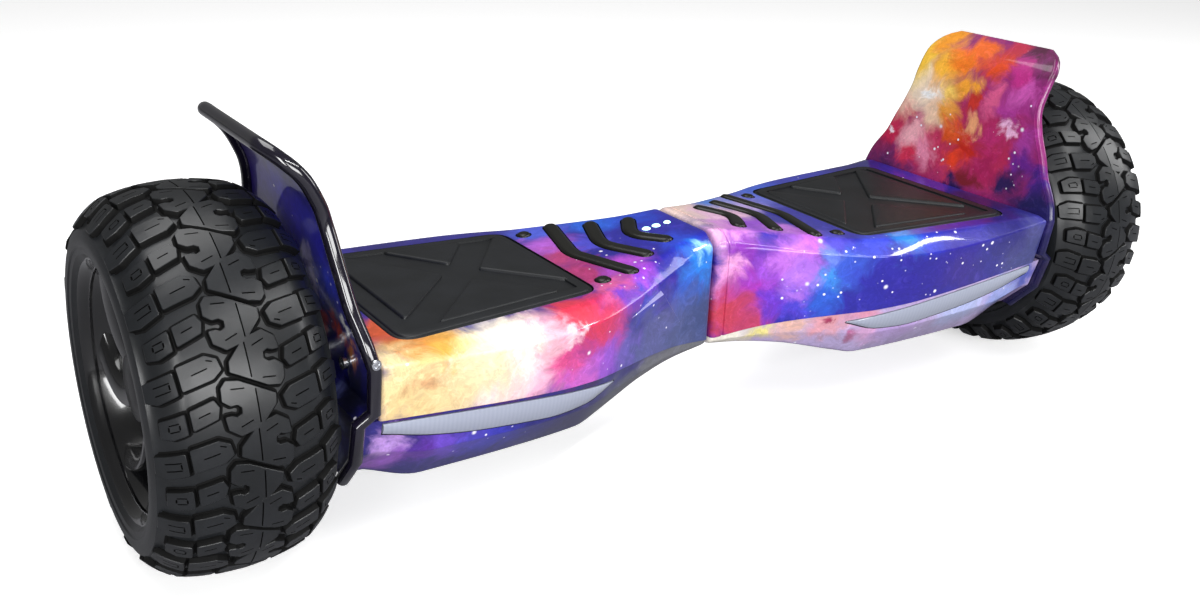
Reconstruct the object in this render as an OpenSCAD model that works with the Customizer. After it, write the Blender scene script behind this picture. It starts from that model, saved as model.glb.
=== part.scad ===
// Two-wheeled self-balancing board: two tilting halves on one pivot, with a hub-motor wheel at each end.
// X runs along the axle, -Y is the front and Z is up. The origin is on the ground under the middle.

/* [Overall] */
// Length over both tyres
overall_len = 760; // [700:5:920]
// Tyre outside diameter
tyre_d = 216; // [206:1:262]
// Tyre width
tyre_w = 97; // [80:1:118]

/* [Body] */
// Gap between the two halves
seam_gap = 3; // [2:0.5:5]
// Height of the foot deck above the axle line
deck_rise = 29; // [28:1:36]
// Height of the crown at the middle above the axle line
crown_rise = 41; // [39:1:50]
// Depth of the waist, front to back
waist_d = 74; // [70:1:90]
// Depth of the body at the wheels, front to back
deck_d = 188; // [180:1:226]
// Clearance under the flat floor
ground_clear = 46; // [38:1:48]
// Wall of the plastic covers
shell_t = 3; // [2.5:0.5:4]
// Play between a tyre and the fender beside it
tyre_gap = 9; // [6:1:14]

/* [Fender] */
// Top of the fender above the axle line
fender_rise = 141; // [134:1:170]
// Outward reach of the fender lip
fender_flare = 41; // [30:1:50]
// Depth of the fender at its lip
fender_lip_d = 118; // [98:1:142]
// Wall of the fender
fender_t = 3.5; // [2.5:0.5:4.5]

/* [Foot pads] */
// Length of a foot pad
pad_len = 136; // [110:1:164]
// Depth of the pad at its inner edge
pad_in_d = 120; // [100:1:124]
// Depth of the pad at its outer edge
pad_out_d = 148; // [122:1:154]
// Distance from the pad to the end of the body
pad_margin = 19; // [16:1:24]
// Height of the pad above the deck
pad_proud = 2; // [1:0.5:4]
// Thickness of the rubber pad
pad_t = 8; // [6:0.5:9.5]
// Travel of the pad when a foot presses it
pad_travel = 1.5; // [0.5:0.5:2]

/* [Running gear] */
// Rim diameter at its lips
rim_d = 145; // [136:1:152]
// Number of rim spokes
spokes = 6; // [4:1:8]
// Axle diameter
axle_d = 15; // [12.5:0.5:18]
// Stator diameter
stator_d = 100; // [84:1:106]
// Pivot tube diameter
pivot_d = 25; // [20:1:30]
// Pivot tube wall
pivot_t = 4; // [2:0.5:5]
// Engaged length of the pivot tube in each half
pivot_len = 70; // [56:1:84]

/* [Fits] */
// Radial running clearance of a shaft
run = 0.05; // [0.02:0.01:0.1]
// Gap round a fixed insert
fit = 0.3; // [0.2:0.05:0.4]
// Gap round a part that travels
slip = 0.6; // [0.4:0.1:0.8]

/* [Hidden] */
$fn = 64;
cut = 1;

// Heights
axle_z = tyre_d / 2;
deck_z = axle_z + deck_rise;
crown_z = axle_z + crown_rise;
fender_top = axle_z + fender_rise;
plate_t = 6;
rail_h = 21;
frame_bot = axle_z - 17;
frame_top = frame_bot + rail_h;

// Stations along one half, measured from the middle of the board
seam = seam_gap / 2;
wheel_in = overall_len / 2 - tyre_w;
lower_step = 8.5;
body_end = wheel_in - tyre_gap - fender_t - lower_step;
low_end = body_end + lower_step;
frame_in = seam + shell_t + 2.5;
frame_end = body_end - shell_t - 2;
pad_out_x = body_end - pad_margin;
pad_in_x = pad_out_x - pad_len;
ramp_end = pad_in_x - 5;
clamp_l = 46;
clamp_x1 = frame_end - 4;
clamp_x0 = clamp_x1 - clamp_l;

// Body outline: shares of the way from the seam to the end, against each line of the section
function share(x) = (x - seam) / (body_end - seam);
function mix(a, b, t) = a + (b - a) * t;
ramp_share = share(ramp_end);
dip_share = 0.57 * ramp_share;
flat_share = ramp_share + 0.064;
floor_bends = [dip_share, ramp_share, flat_share];
side_bends = [for (b = [0.1, 0.22, 0.34, 0.45, 0.57, 0.75, 0.86]) if (min([for (f = floor_bends) abs(b - f)]) > 0.01) b];
// Every place where a line of the section bends, in order along the half
function before(list, limit) = [for (b = list) if (b < limit) b];
function after(list, limit) = [for (b = list) if (b > limit) b];
bends = concat(before(side_bends, dip_share), [dip_share],
               before(after(side_bends, dip_share), ramp_share), [ramp_share],
               before(after(side_bends, ramp_share), flat_share), [flat_share],
               after(side_bends, flat_share));
function swell(x) = lookup(share(x), [[0, 0], [0.1, 0.12], [0.22, 0.35], [0.34, 0.6], [0.45, 0.8],
                                      [0.57, 0.91], [0.75, 0.97], [1, 1]]);
function crease_y(x) = mix(waist_d / 2, deck_d / 2, swell(x));
function crease_z(x) = mix(crown_z - 8, deck_z - 2, share(x)) - 11 * sin(180 * min(1, share(x)));
function top_z(x) = max(deck_z, mix(crown_z, deck_z, (x - seam) / (ramp_end - seam)));
function top_y(x) = crease_y(x) - lookup(share(x), [[0, 9], [0.34, 11], [0.57, 12], [0.86, 11], [1, 8]]);
function part_y(x) = crease_y(x) - lookup(share(x), [[0, 0.5], [0.45, 6], [1, 6]]);
function part_z(x) = axle_z + lookup(share(x), [[0, -34], [0.22, -26], [0.45, -21], [1, -7]]);
function chine_y(x) = part_y(x) - lookup(share(x), [[0, 1], [0.45, 6], [1, 6]]);
function chine_z(x) = mix(part_z(x), floor_z(x), 0.5);
function floor_y(x) = part_y(x) - lookup(share(x), [[0, 5], [ramp_share, 18], [max(0.57, flat_share), 24], [1, 28]]);
function floor_z(x) = lookup(share(x), [[0, axle_z - 40], [dip_share, axle_z - 48], [ramp_share, ground_clear + 3.5],
                                        [flat_share, ground_clear], [0.86, ground_clear], [1, ground_clear + 12]]);
ramp_angle = atan2(crown_z - deck_z, ramp_end - seam);

// One side of a cover's section, t inside the outer surface; over lets a cutter run past the parting line
function top_side(x, t, over) = [[part_y(x) - t, part_z(x) - over],
                                 [crease_y(x) - t, crease_z(x) - t / 2],
                                 [top_y(x) - t / 2, top_z(x) - t]];
function low_side(x, t, over) = [[floor_y(x) - t / 2, floor_z(x) + t],
                                 [chine_y(x) - t, chine_z(x) + t / 3],
                                 [part_y(x) - t, part_z(x) + over]];
function ring(x, half) = concat([for (p = half) [x, p[0], p[1]]],
                                [for (i = [len(half) - 1:-1:0]) [x, -half[i][0], half[i][1]]]);
function stations(x0, x1) = concat([x0], [for (b = bends) let (x = mix(seam, body_end, b))
                                          if (x > x0 + 1 && x < x1 - 1) x], [x1]);

// Closed skin through equal rings at rising x, each running anticlockwise when seen from +X
module skin(rings) {
  n = len(rings[0]);
  last = len(rings) - 1;
  polyhedron(
    points = [for (r = rings) each r],
    faces = concat(
      [[for (j = [0:n - 1]) j]],
      [for (i = [0:last - 1], j = [0:n - 1]) let (k = (j + 1) % n) [i * n + j, (i + 1) * n + j, (i + 1) * n + k]],
      [for (i = [0:last - 1], j = [0:n - 1]) let (k = (j + 1) % n) [i * n + j, (i + 1) * n + k, i * n + k]],
      [[for (j = [n - 1:-1:0]) last * n + j]]),
    convexity = 6);
}
module top_solid(x0, x1, t, over) skin([for (x = stations(x0, x1)) ring(x, top_side(x, t, over))]);
module low_solid(x0, x1, t, over) skin([for (x = stations(x0, x1)) ring(x, low_side(x, t, over))]);

// Helpers
module side(s) mirror([s < 0 ? 1 : 0, 0, 0]) children();
module rod_x(d, x0, x1) translate([x0, 0, axle_z]) rotate([0, 90, 0]) cylinder(d = d, h = x1 - x0);
module block(x0, x1, y0, y1, z0, z1) translate([x0, y0, z0]) cube([x1 - x0, y1 - y0, z1 - z0]);
module both_y() {
  children();
  mirror([0, 1, 0]) children();
}

// Foot pad outline, grown by g, as a tapered tray with round corners
pad_corner = 13;
module pad_outline(g)
  polygon([[pad_in_x - g, pad_in_d / 2 - pad_corner], [pad_in_x + pad_corner, pad_in_d / 2 + g],
           [pad_out_x - pad_corner, pad_out_d / 2 + g], [pad_out_x + g, pad_out_d / 2 - pad_corner],
           [pad_out_x + g, pad_corner - pad_out_d / 2], [pad_out_x - pad_corner, -pad_out_d / 2 - g],
           [pad_in_x + pad_corner, -pad_in_d / 2 - g], [pad_in_x - g, pad_corner - pad_in_d / 2]]);
module pad_prism(g, z0, z1) translate([0, 0, z0]) linear_extrude(height = z1 - z0) pad_outline(g);

// Heights inside the pad tray
pad_top = deck_z + pad_proud;
pad_bot = pad_top - pad_t;
pedal_t = 3;
pedal_bot = pad_bot - pedal_t;
stop_gap = 0.3;
stop_h = 2.4;
tray_top = pedal_bot - pad_travel - stop_gap - stop_h;
tray_t = 2.5;
tray_bot = tray_top - tray_t;
leg_x = [pad_in_x + 30, clamp_x0 - 18];
leg_y = 30;
stop_x = [pad_in_x + 44, pad_out_x - 34];
leg_w = 9;
leg_t = 3;

// Screw sizes and places
screw_d = 4;
head_d = 7.6;
head_h = 2.6;
post_d = 12;
tray_post_x = [pad_in_x + 15, pad_out_x - 15];
tray_post_y = 48;
foot_post_x = [pad_in_x - 12, frame_end - 9];
foot_post_y = 36;
foot_screw_head_z = frame_bot - 14;
fender_screw_y = [-54, 54];
fender_screw_z = axle_z + 15;
fender_boss_l = 9;

// Motor, measured from the wheel's middle plane outward
wheel_mid = overall_len / 2 - tyre_w / 2;
lip_u = tyre_w / 2 - 4.5;
web_u = lip_u - 26;
web_t = 5;
cover_u = -lip_u + 1;
cover_t = 6;
bearing_d = 2 * axle_d + 5;
bearing_w = 11;
hub_wall = 5;
air_gap = 0.8;
magnet_t = 6;
barrel_in = stator_d / 2 + air_gap + magnet_t;
seat_r = rim_d / 2 - 6;
stator_l = 28;
stator_u = -12;
slots = 18;
tooth_w = 5;
coil_end = 6;
stator_core_r = 30;
shoulder_d = axle_d + 5;
cable_d = 6;
flat_z = axle_z + axle_d / 2 - 1.5;
inner_bearing_x = wheel_mid + cover_u;
outer_bearing_x = wheel_mid + web_u - bearing_w;

// Aluminium frame: floor plate with side rails, pivot barrel and axle saddle
barrel_d = pivot_d + 15;
bush_t = 3;
bush_l = 16;
flange_t = 2;
function frame_w(x) = x < pad_in_x ? mix(22, 54, (x - frame_in) / (pad_in_x - frame_in)) : 56;
module frame_plan(inset) polygon([[frame_in, frame_w(frame_in) - inset], [pad_in_x, frame_w(pad_in_x) - inset],
                                  [pad_in_x + 8, frame_w(pad_out_x) - inset], [frame_end, frame_w(frame_end) - inset],
                                  [frame_end, inset - frame_w(frame_end)], [pad_in_x + 8, inset - frame_w(pad_out_x)],
                                  [pad_in_x, inset - frame_w(pad_in_x)], [frame_in, inset - frame_w(frame_in)]]);
rail_t = 15;
barrel_end = frame_in + pivot_len;
saddle_w = 62;
module frame_body() {
  difference() {
    union() {
      translate([0, 0, frame_bot]) linear_extrude(height = plate_t) frame_plan(0);
      difference() {
        translate([0, 0, frame_bot]) linear_extrude(height = rail_h) frame_plan(0);
        translate([0, 0, frame_bot + cut]) linear_extrude(height = rail_h) frame_plan(rail_t);
        block(frame_in - cut, barrel_end, -deck_d / 2, deck_d / 2, axle_z, frame_top + cut);
      }
      rod_x(barrel_d, frame_in, barrel_end);
      block(clamp_x0, clamp_x1, -saddle_w / 2, saddle_w / 2, frame_bot + cut, axle_z - fit / 2);
    }
    axle_section(clamp_x0 - cut, clamp_x1 + cut, 2 * run);
    translate([0, 0, frame_bot - cut]) bolt_holes(axle_z - frame_bot + 2 * cut, bolt_d);
    for (x = tray_post_x) both_y() translate([x, tray_post_y, frame_top - 12])
      cylinder(d = screw_d + 2 * run, h = 12 + cut);
    for (x = foot_post_x) both_y() translate([x, foot_post_y, frame_bot - cut])
      cylinder(d = screw_d + 2 * run, h = plate_t + 2 * cut);
    block(clamp_x1, frame_end + cut, -axle_d, axle_d, frame_bot + plate_t, frame_top + cut);
    rod_x(pivot_d + 2 * bush_t + 8, barrel_end, tube_end + cut);
  }
}
module left_frame() side(-1) color("silver") difference() {
  frame_body();
  rod_x(pivot_d + 2 * run, frame_in - cut, barrel_end + cut);
}
module right_frame() color("silver") difference() {
  frame_body();
  rod_x(pivot_d + 2 * slip, frame_in - cut, barrel_end + cut);
  for (x = [frame_in - cut, barrel_end - bush_l]) rod_x(pivot_d + 2 * bush_t, x, x + bush_l + cut);
}

// Pivot tube: held by the left frame, turning in the right frame's bushes behind a circlip
circlip_t = 1.5;
circlip_x = barrel_end + flange_t + fit;
tube_end = circlip_x + circlip_t + 4;
module pivot_tube() color("gray") difference() {
  rod_x(pivot_d, -barrel_end, tube_end);
  rod_x(pivot_d - 2 * pivot_t, -barrel_end - cut, tube_end + cut);
  difference() {
    rod_x(pivot_d + cut, circlip_x, circlip_x + circlip_t + run);
    rod_x(pivot_d - 2, circlip_x - cut, circlip_x + circlip_t + cut);
  }
}
module bush(x0, x1, flange_x) difference() {
  union() {
    rod_x(pivot_d + 2 * bush_t - 2 * run, x0, x1);
    rod_x(pivot_d + 2 * bush_t + 6, flange_x, flange_x + flange_t);
  }
  rod_x(pivot_d + 2 * run, x0 - 3, x1 + 3);
}
module pivot_bushes() color("goldenrod") {
  bush(frame_in - flange_t, frame_in + bush_l - cut, frame_in - flange_t);
  bush(barrel_end - bush_l, barrel_end + flange_t, barrel_end);
}
module pivot_circlip() color("dimgray") difference() {
  rod_x(pivot_d + 6, circlip_x + run / 2, circlip_x + circlip_t);
  rod_x(pivot_d - 2 + 2 * run, circlip_x - cut, circlip_x + circlip_t + cut);
  block(circlip_x - cut, circlip_x + circlip_t + cut, -4, 4, axle_z, axle_z + pivot_d);
}

// Fixed axle with one flat, its clamp and the clamp's four bolts
bolt_d = 6;
bolt_y = saddle_w / 2 - 9;
cap_h = 22;
module bolt_holes(h, d) for (x = [clamp_x0 + 10, clamp_x1 - 10]) both_y() translate([x, bolt_y, 0])
  cylinder(d = d + 2 * run, h = h);
module axle_section(x0, x1, grow) intersection() {
  rod_x(axle_d + grow, x0, x1);
  block(x0, x1, -axle_d, axle_d, 0, flat_z + grow / 2);
}
module axle(s) side(s) color("lightgray") difference() {
  union() {
    axle_section(clamp_x0, clamp_x1, 0);
    rod_x(axle_d, clamp_x1, outer_bearing_x + bearing_w - cut);
    rod_x(shoulder_d, inner_bearing_x + bearing_w + fit, outer_bearing_x - fit);
  }
  rod_x(cable_d + 2, clamp_x0 - cut, wheel_mid + stator_u - stator_l / 2 - 4);
  translate([wheel_mid + stator_u - stator_l / 2 - 9, 0, axle_z]) cylinder(d = cable_d + 1, h = shoulder_d);
}
module axle_clamp(s) side(s) color("silver") difference() {
  block(clamp_x0, clamp_x1, -saddle_w / 2, saddle_w / 2, axle_z + fit / 2, axle_z + min(cap_h, tray_bot - axle_z - fit));
  axle_section(clamp_x0 - cut, clamp_x1 + cut, 2 * run);
  translate([0, 0, axle_z]) bolt_holes(cap_h + cut, bolt_d + 0.6);
  translate([0, 0, bolt_seat_z]) bolt_holes(cap_h, 2 * bolt_d);
}
bolt_seat_z = axle_z + 5;
module clamp_bolts(s) side(s) color("dimgray") {
  translate([0, 0, frame_bot]) bolt_holes(bolt_seat_z - frame_bot, bolt_d - 2 * run);
  difference() {
    translate([0, 0, bolt_seat_z]) bolt_holes(bolt_d, 1.7 * bolt_d);
    translate([0, 0, bolt_seat_z + 3]) bolt_holes(bolt_d, 0.8 * bolt_d);
  }
}

// Stator with its slots and copper, lead and bearings
module stator(s) side(s) color("darkgray") {
  x0 = wheel_mid + stator_u - stator_l / 2;
  difference() {
    rod_x(stator_d, x0, x0 + stator_l);
    rod_x(shoulder_d + 2 * run, x0 - cut, x0 + stator_l + cut);
    for (i = [0:slots - 1]) translate([x0 - cut, 0, axle_z]) rotate([i * 360 / slots, 0, 0])
      translate([0, tooth_w / 2 + 2, stator_core_r]) cube([stator_l + 2 * cut, 5, stator_d / 2 - stator_core_r - 4]);
    for (i = [0:slots - 1]) translate([x0 - cut, 0, axle_z]) rotate([i * 360 / slots, 0, 0])
      translate([0, tooth_w / 2 + 3.5, stator_core_r]) cube([stator_l + 2 * cut, 2, stator_d / 2]);
    for (i = [0:4]) translate([0, 0, axle_z]) rotate([i * 72, 0, 0]) translate([x0 - cut, 0, 20])
      rotate([0, 90, 0]) cylinder(d = 10, h = stator_l + 2 * cut);
  }
}
module windings(s) side(s) color("peru") for (end = [-1, 1])
  translate([wheel_mid + stator_u + end * (stator_l / 2 + coil_end / 2 + fit), 0, axle_z])
    rotate([0, 90, 0]) difference() {
      cylinder(r = stator_d / 2 - 4.5, h = coil_end, center = true);
      cylinder(r = stator_core_r + 2, h = coil_end + 2 * cut, center = true);
    }
module motor_cable(s) side(s) color("black") {
  plug_x = clamp_x0 - 24;
  plug_z = frame_bot + plate_t;
  rod_x(cable_d, clamp_x0 - 10, wheel_mid + stator_u - stator_l / 2 - 5);
  translate([clamp_x0 - 10, 0, axle_z]) sphere(d = cable_d);
  translate([clamp_x0 - 10, 0, plug_z + 4]) cylinder(d = cable_d, h = axle_z - plug_z - 4);
  translate([clamp_x0 - 10, 0, plug_z + 4]) sphere(d = cable_d);
  translate([plug_x, 0, plug_z + 4]) rotate([0, 90, 0]) cylinder(d = cable_d, h = clamp_x0 - 10 - plug_x);
  block(plug_x - 14, plug_x + 2, -9, 9, plug_z, plug_z + 9);
}

// Wheel: tyre, rim with spokes, magnets, motor cover, bearings, screws and hub cap
function tyre_side() = [[0, tyre_d / 2], [0.24, tyre_d / 2 - 0.6], [0.46, tyre_d / 2 - 2.2], [0.66, tyre_d / 2 - 4.7],
                        [0.8, tyre_d / 2 - 9], [0.91, tyre_d / 2 - 14], [1, 0.82 * tyre_d / 2],
                        [0.985, rim_d / 2 + 7], [0.93, rim_d / 2 + fit]];
function tyre_hollow() = [[0.84, rim_d / 2 + fit], [0.86, rim_d / 2 + 8], [0.78, tyre_d / 2 - 17],
                          [0.6, tyre_d / 2 - 13], [0, tyre_d / 2 - 10]];
module turn_x(points) translate([wheel_mid, 0, axle_z]) rotate([0, 90, 0])
  rotate_extrude($fn = 96) polygon([for (p = points) [p[1], p[0]]]);
module tyre(s) side(s) color("black") {
  w = tyre_w / 2;
  outer = [for (p = tyre_side()) [p[0] * w, p[1]]];
  inner = [for (p = tyre_hollow()) [p[0] * w - (p[0] > 0.7 ? 6 : 0), p[1]]];
  half = concat(outer, [[w * 0.8, rim_d / 2 + fit], [w * 0.8, seat_r + run], [w * 0.62, seat_r + run]], inner);
  turn_x(concat(half, [for (i = [len(half) - 2:-1:1]) [-half[i][0], half[i][1]]]));
}
module rim(s) side(s) color("black") {
  lip_r = rim_d / 2;
  difference() {
    union() {
      turn_x([[-lip_u, lip_r], [-lip_u + 3.5, lip_r], [-lip_u + 5, seat_r], [lip_u - 5, seat_r], [lip_u - 3.5, lip_r],
              [lip_u, lip_r], [lip_u, lip_r - 4], [web_u + web_t, barrel_in + 2], [web_u, barrel_in],
              [-lip_u, barrel_in]]);
      turn_x([[web_u, 0], [web_u + web_t, 0], [web_u + web_t, barrel_in + 3], [web_u, barrel_in + 3]]);
      rod_x(bearing_d + 2 * hub_wall, outer_bearing_x, wheel_mid + web_u + cut);
      for (i = [0:spokes - 1]) translate([wheel_mid + web_u + web_t / 2, 0, axle_z]) rotate([i * 360 / spokes, 0, 0])
        spoke();
      rod_x(44, wheel_mid + web_u, wheel_mid + lip_u - 13);
    }
    rod_x(bearing_d + 2 * run, outer_bearing_x - cut, outer_bearing_x + bearing_w);
    rod_x(axle_d + 4, outer_bearing_x, outer_bearing_x + bearing_w + 2);
    motor_screw_holes(-lip_u - cut, 16, screw_d + 2 * run);
    turn_x([[-lip_u - cut, 0], [cover_u + cover_t - 1, 0], [cover_u + cover_t - 1, cover_r + run],
            [-lip_u - cut, cover_r + run]]);
    rod_x(38 + 2 * fit, wheel_mid + lip_u - 15, wheel_mid + lip_u);
  }
}
// A spoke stands on the web as a slightly swept blade
module spoke() intersection() {
  translate([0, -7, 14]) rotate([8, 0, 0]) cube([lip_u - web_u - web_t, 11, seat_r - 17]);
  rotate([0, 90, 0]) cylinder(r = seat_r - 1, h = 60);
}
cover_r = barrel_in + 6.5;
module motor_screw_holes(u, l, d) for (i = [0:5]) translate([wheel_mid, 0, axle_z]) rotate([i * 60, 0, 0])
  translate([u, 0, barrel_in + 3]) rotate([0, 90, 0]) cylinder(d = d, h = l, $fn = 32);
module magnet_ring(s) side(s) color("slategray") {
  x0 = wheel_mid + stator_u - stator_l / 2 - 1;
  difference() {
    rod_x(2 * (barrel_in - run), x0, x0 + stator_l + 2);
    rod_x(stator_d + 2 * air_gap, x0 - cut, x0 + stator_l + 2 + cut);
  }
}
module motor_cover(s) side(s) color("dimgray") difference() {
  union() {
    rod_x(2 * cover_r, inner_bearing_x, inner_bearing_x + cover_t - 2);
    rod_x(2 * (barrel_in - run), inner_bearing_x, inner_bearing_x + cover_t);
    rod_x(bearing_d + 2 * hub_wall, inner_bearing_x, inner_bearing_x + bearing_w);
  }
  rod_x(bearing_d + 2 * run, inner_bearing_x - cut, inner_bearing_x + bearing_w + cut);
  motor_screw_holes(cover_u - cut, cover_t + cut, screw_d + 0.5);
}
module wheel_bearings(s) side(s) color("silver") for (x = [inner_bearing_x, outer_bearing_x]) difference() {
  rod_x(bearing_d, x, x + bearing_w - run);
  rod_x(axle_d + 2 * run, x - cut, x + bearing_w + cut);
  for (end = [0, bearing_w - run - 1]) difference() {
    rod_x(bearing_d - 6, x + end - run, x + end + 1 + run);
    rod_x(axle_d + 6, x + end - cut, x + end + 1 + cut);
  }
}
module motor_screws(s) side(s) color("dimgray") {
  motor_screw_holes(cover_u - cut / 2, 13, screw_d - 2 * run);
  difference() {
    motor_screw_holes(cover_u - head_h, head_h, head_d - 1);
    motor_screw_holes(cover_u - head_h - cut, 1.2 + cut, screw_d - 1);
  }
}
module hub_cap(s) side(s) color("black") difference() {
  x0 = wheel_mid + lip_u - 15 + run;
  turn_x([[lip_u - 15 + run, 0], [lip_u - 15 + run, 19], [lip_u - 11, 19], [lip_u - 9.5, 17], [lip_u - 8.5, 12],
          [lip_u - 8, 0]]);
  for (i = [0:4]) translate([0, 0, axle_z]) rotate([i * 72, 0, 0]) translate([x0 + 5, 0, 12])
    rotate([0, 90, 0]) cylinder(d = 3, h = 9);
}

// Things that sit on the sloping crown, drawn flat and laid on the ramp
module on_ramp() translate([seam, 0, crown_z]) rotate([0, ramp_angle, 0]) children();
bar_w = 8.5;
bar_proud = 1.2;
bar_sunk = 1.5;
ramp_l = (ramp_end - seam) / cos(ramp_angle);
bar_tip = [0.86, 0.64, 0.41] * ramp_l;
bar_half = [0.8 * top_y(seam + bar_tip[0]), 0.65 * top_y(seam + bar_tip[1]), 0.53 * top_y(seam + bar_tip[2])];
bar_sweep = 12;
dot_d = 10;
dot_x = ramp_l - 5.5;
dot_y = 0.76 * top_y(seam + dot_x);
module bar_shape(i, g) both_y() hull() {
  translate([bar_tip[i], 0]) circle(d = bar_w + 2 * g, $fn = 24);
  translate([bar_tip[i] - bar_sweep, bar_half[i]]) circle(d = bar_w + 2 * g, $fn = 24);
}
module bars(g, z0, z1) translate([0, 0, z0]) linear_extrude(height = z1 - z0) {
  for (i = [0:2]) bar_shape(i, g);
  both_y() translate([dot_x, dot_y]) circle(d = dot_d + 2 * g);
}
module grip_bars(s) side(s) color("black") on_ramp() bars(0, -bar_sunk, bar_proud);

// Charge lamps in the left crown
lens_x = [0.265, 0.482, 0.675] * bar_tip[2];
lens_d = [0.12, 0.145, 0.145] * bar_tip[2];
lens_y = 2;
module lens_holes(g) for (i = [0:2]) translate([lens_x[i], lens_y, -shell_t - cut])
  cylinder(d = lens_d[i] + 2 * g, h = shell_t + 2 * cut);
module indicator_lenses() side(-1) color("white") on_ramp() for (i = [0:2]) translate([lens_x[i], lens_y, 0]) {
  translate([0, 0, -shell_t - 2.5]) cylinder(d = lens_d[i], h = shell_t + 3);
  translate([0, 0, -shell_t - 2.5]) cylinder(d = 1.25 * lens_d[i], h = 2);
}

// Top cover: crowned shell with a tray for the pad and posts down to the frame rails
axle_hole_d = axle_d + 8;
module top_cover_body() difference() {
  union() {
    difference() {
      top_solid(seam, body_end, 0, 0);
      top_solid(seam + shell_t, body_end - shell_t, shell_t, cut);
    }
    intersection() {
      pad_prism(slip + shell_t - 0.5, tray_bot, deck_z);
      top_solid(seam, body_end, 1, 0);
    }
    for (x = tray_post_x) both_y() translate([x, tray_post_y, frame_top]) cylinder(d = post_d, h = tray_bot - frame_top + cut);
    for (y = fender_screw_y) translate([body_end - shell_t - fender_boss_l, y, fender_screw_z]) rotate([0, 90, 0])
      cylinder(d = 11, h = fender_boss_l + cut);
  }
  pad_prism(slip, tray_top, crown_z);
  on_ramp() bars(fit, -bar_sunk - fit / 2, 9);
  rod_x(pivot_d + 2 * slip, seam - cut, seam + shell_t + cut);
  rod_x(barrel_d + 2 * slip, seam + shell_t + cut, tube_end + slip);
  rod_x(axle_hole_d, body_end - shell_t - cut, body_end + cut);
  for (x = leg_x) both_y() translate([x - leg_t / 2 - slip, leg_y - leg_w / 2 - slip, tray_bot - cut])
    cube([leg_t + 2 * slip, leg_w + 2 * slip, tray_t + 2 * cut]);
  for (x = tray_post_x) both_y() translate([x, tray_post_y, 0]) {
    translate([0, 0, frame_top - cut]) cylinder(d = screw_d + 0.5, h = tray_top - frame_top + 2 * cut);
    translate([0, 0, tray_top - head_h - run]) cylinder(d = head_d + 0.6, h = head_h + cut);
  }
  for (y = fender_screw_y) translate([body_end - fender_boss_l, y, fender_screw_z]) rotate([0, 90, 0])
    cylinder(d = screw_d + 2 * run, h = fender_boss_l + cut);
}
module left_top_cover() side(-1) color("royalblue") difference() {
  top_cover_body();
  on_ramp() lens_holes(fit);
}
module right_top_cover() color("orchid") top_cover_body();

// Front light: a leaf-shaped lens let into the lower cover, with its strip of lamps behind it
light_in_x = pad_in_x - 10;
light_out_x = body_end - 2;
light_proud = 0.6;
function light_top(t) = part_z(mix(light_in_x, light_out_x, t)) - 2.5 - 1.5 * pow(1 - t, 2);
function light_h(t) = 12.5 * pow(sin(180 * min(0.5, t * 0.9 + 0.02)), 0.8) - 5 * pow(t, 3);
module light_leaf(g) rotate([90, 0, 0]) linear_extrude(height = 140) polygon(concat(
  [for (i = [0:8]) [mix(light_in_x - g, light_out_x + g, i / 8), light_top(i / 8) + g]],
  [for (i = [8:-1:0]) [mix(light_in_x - g, light_out_x + g, i / 8), light_top(i / 8) - light_h(i / 8) - g]]));
function panel_y(x, z) = mix(chine_y(x), part_y(x), (z - chine_z(x)) / (part_z(x) - chine_z(x)));
function light_ring(i, inset, out, deep) =
  let (x = mix(light_in_x + inset, light_out_x - inset, i / 8), top = light_top(i / 8) - inset,
       bot = light_top(i / 8) - light_h(i / 8) + inset)
  [[x, -panel_y(x, bot) - out, bot], [x, -panel_y(x, bot) + deep, bot],
   [x, -panel_y(x, top) + deep, top], [x, -panel_y(x, top) - out, top]];
module front_light(s) side(s) color("lightgray") {
  skin([for (i = [0:8]) light_ring(i, fit, light_proud, shell_t)]);
  skin([for (i = [2:7]) light_ring(i, 2, -shell_t - fit, shell_t + fit + 1.5)]);
}

// Bottom cover: shell with four screw posts up to the frame, and a boxed end under the fender
module bottom_cover_body() difference() {
  union() {
    difference() {
      low_solid(seam, low_end, 0, 0);
      low_solid(seam + shell_t, body_end - shell_t, shell_t, cut);
      low_solid(body_end, low_end - shell_t, shell_t, -shell_t);
    }
    for (x = foot_post_x) both_y() translate([x, foot_post_y, floor_z(x) + 1.5])
      cylinder(d = post_d, h = frame_bot - floor_z(x) - 1.5);
  }
  light_leaf(0);
  rod_x(axle_hole_d, body_end - shell_t - cut, low_end + cut);
  for (x = foot_post_x) both_y() translate([x, foot_post_y, 0]) {
    cylinder(d = head_d + 1.4, h = foot_screw_head_z);
    cylinder(d = screw_d + 0.5, h = frame_bot + cut);
  }
}
module left_bottom_cover() side(-1) color("darkslateblue") bottom_cover_body();

// Screws of the covers and of the fender
module screw(l) {
  cylinder(d = screw_d, h = l);
  difference() {
    translate([0, 0, l]) cylinder(d = head_d, h = head_h);
    translate([0, 0, l + head_h - 1.2]) cylinder(d = screw_d * 0.8, h = 2);
  }
}
module cover_screws(s) side(s) color("dimgray") {
  tray_l = tray_top - head_h - frame_top + 10;
  for (x = tray_post_x) both_y() translate([x, tray_post_y, tray_top - head_h - tray_l]) screw(tray_l);
  foot_l = frame_bot - foot_screw_head_z + plate_t - 1;
  for (x = foot_post_x) both_y() translate([x, foot_post_y, foot_screw_head_z + foot_l]) mirror([0, 0, 1])
    screw(foot_l);
}
module fender_screws(s) side(s) color("silver") for (y = fender_screw_y)
  translate([body_end - fender_boss_l + 1, y, fender_screw_z]) rotate([0, 90, 0])
    screw(fender_boss_l - 1 + fit + fender_t);

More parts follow.
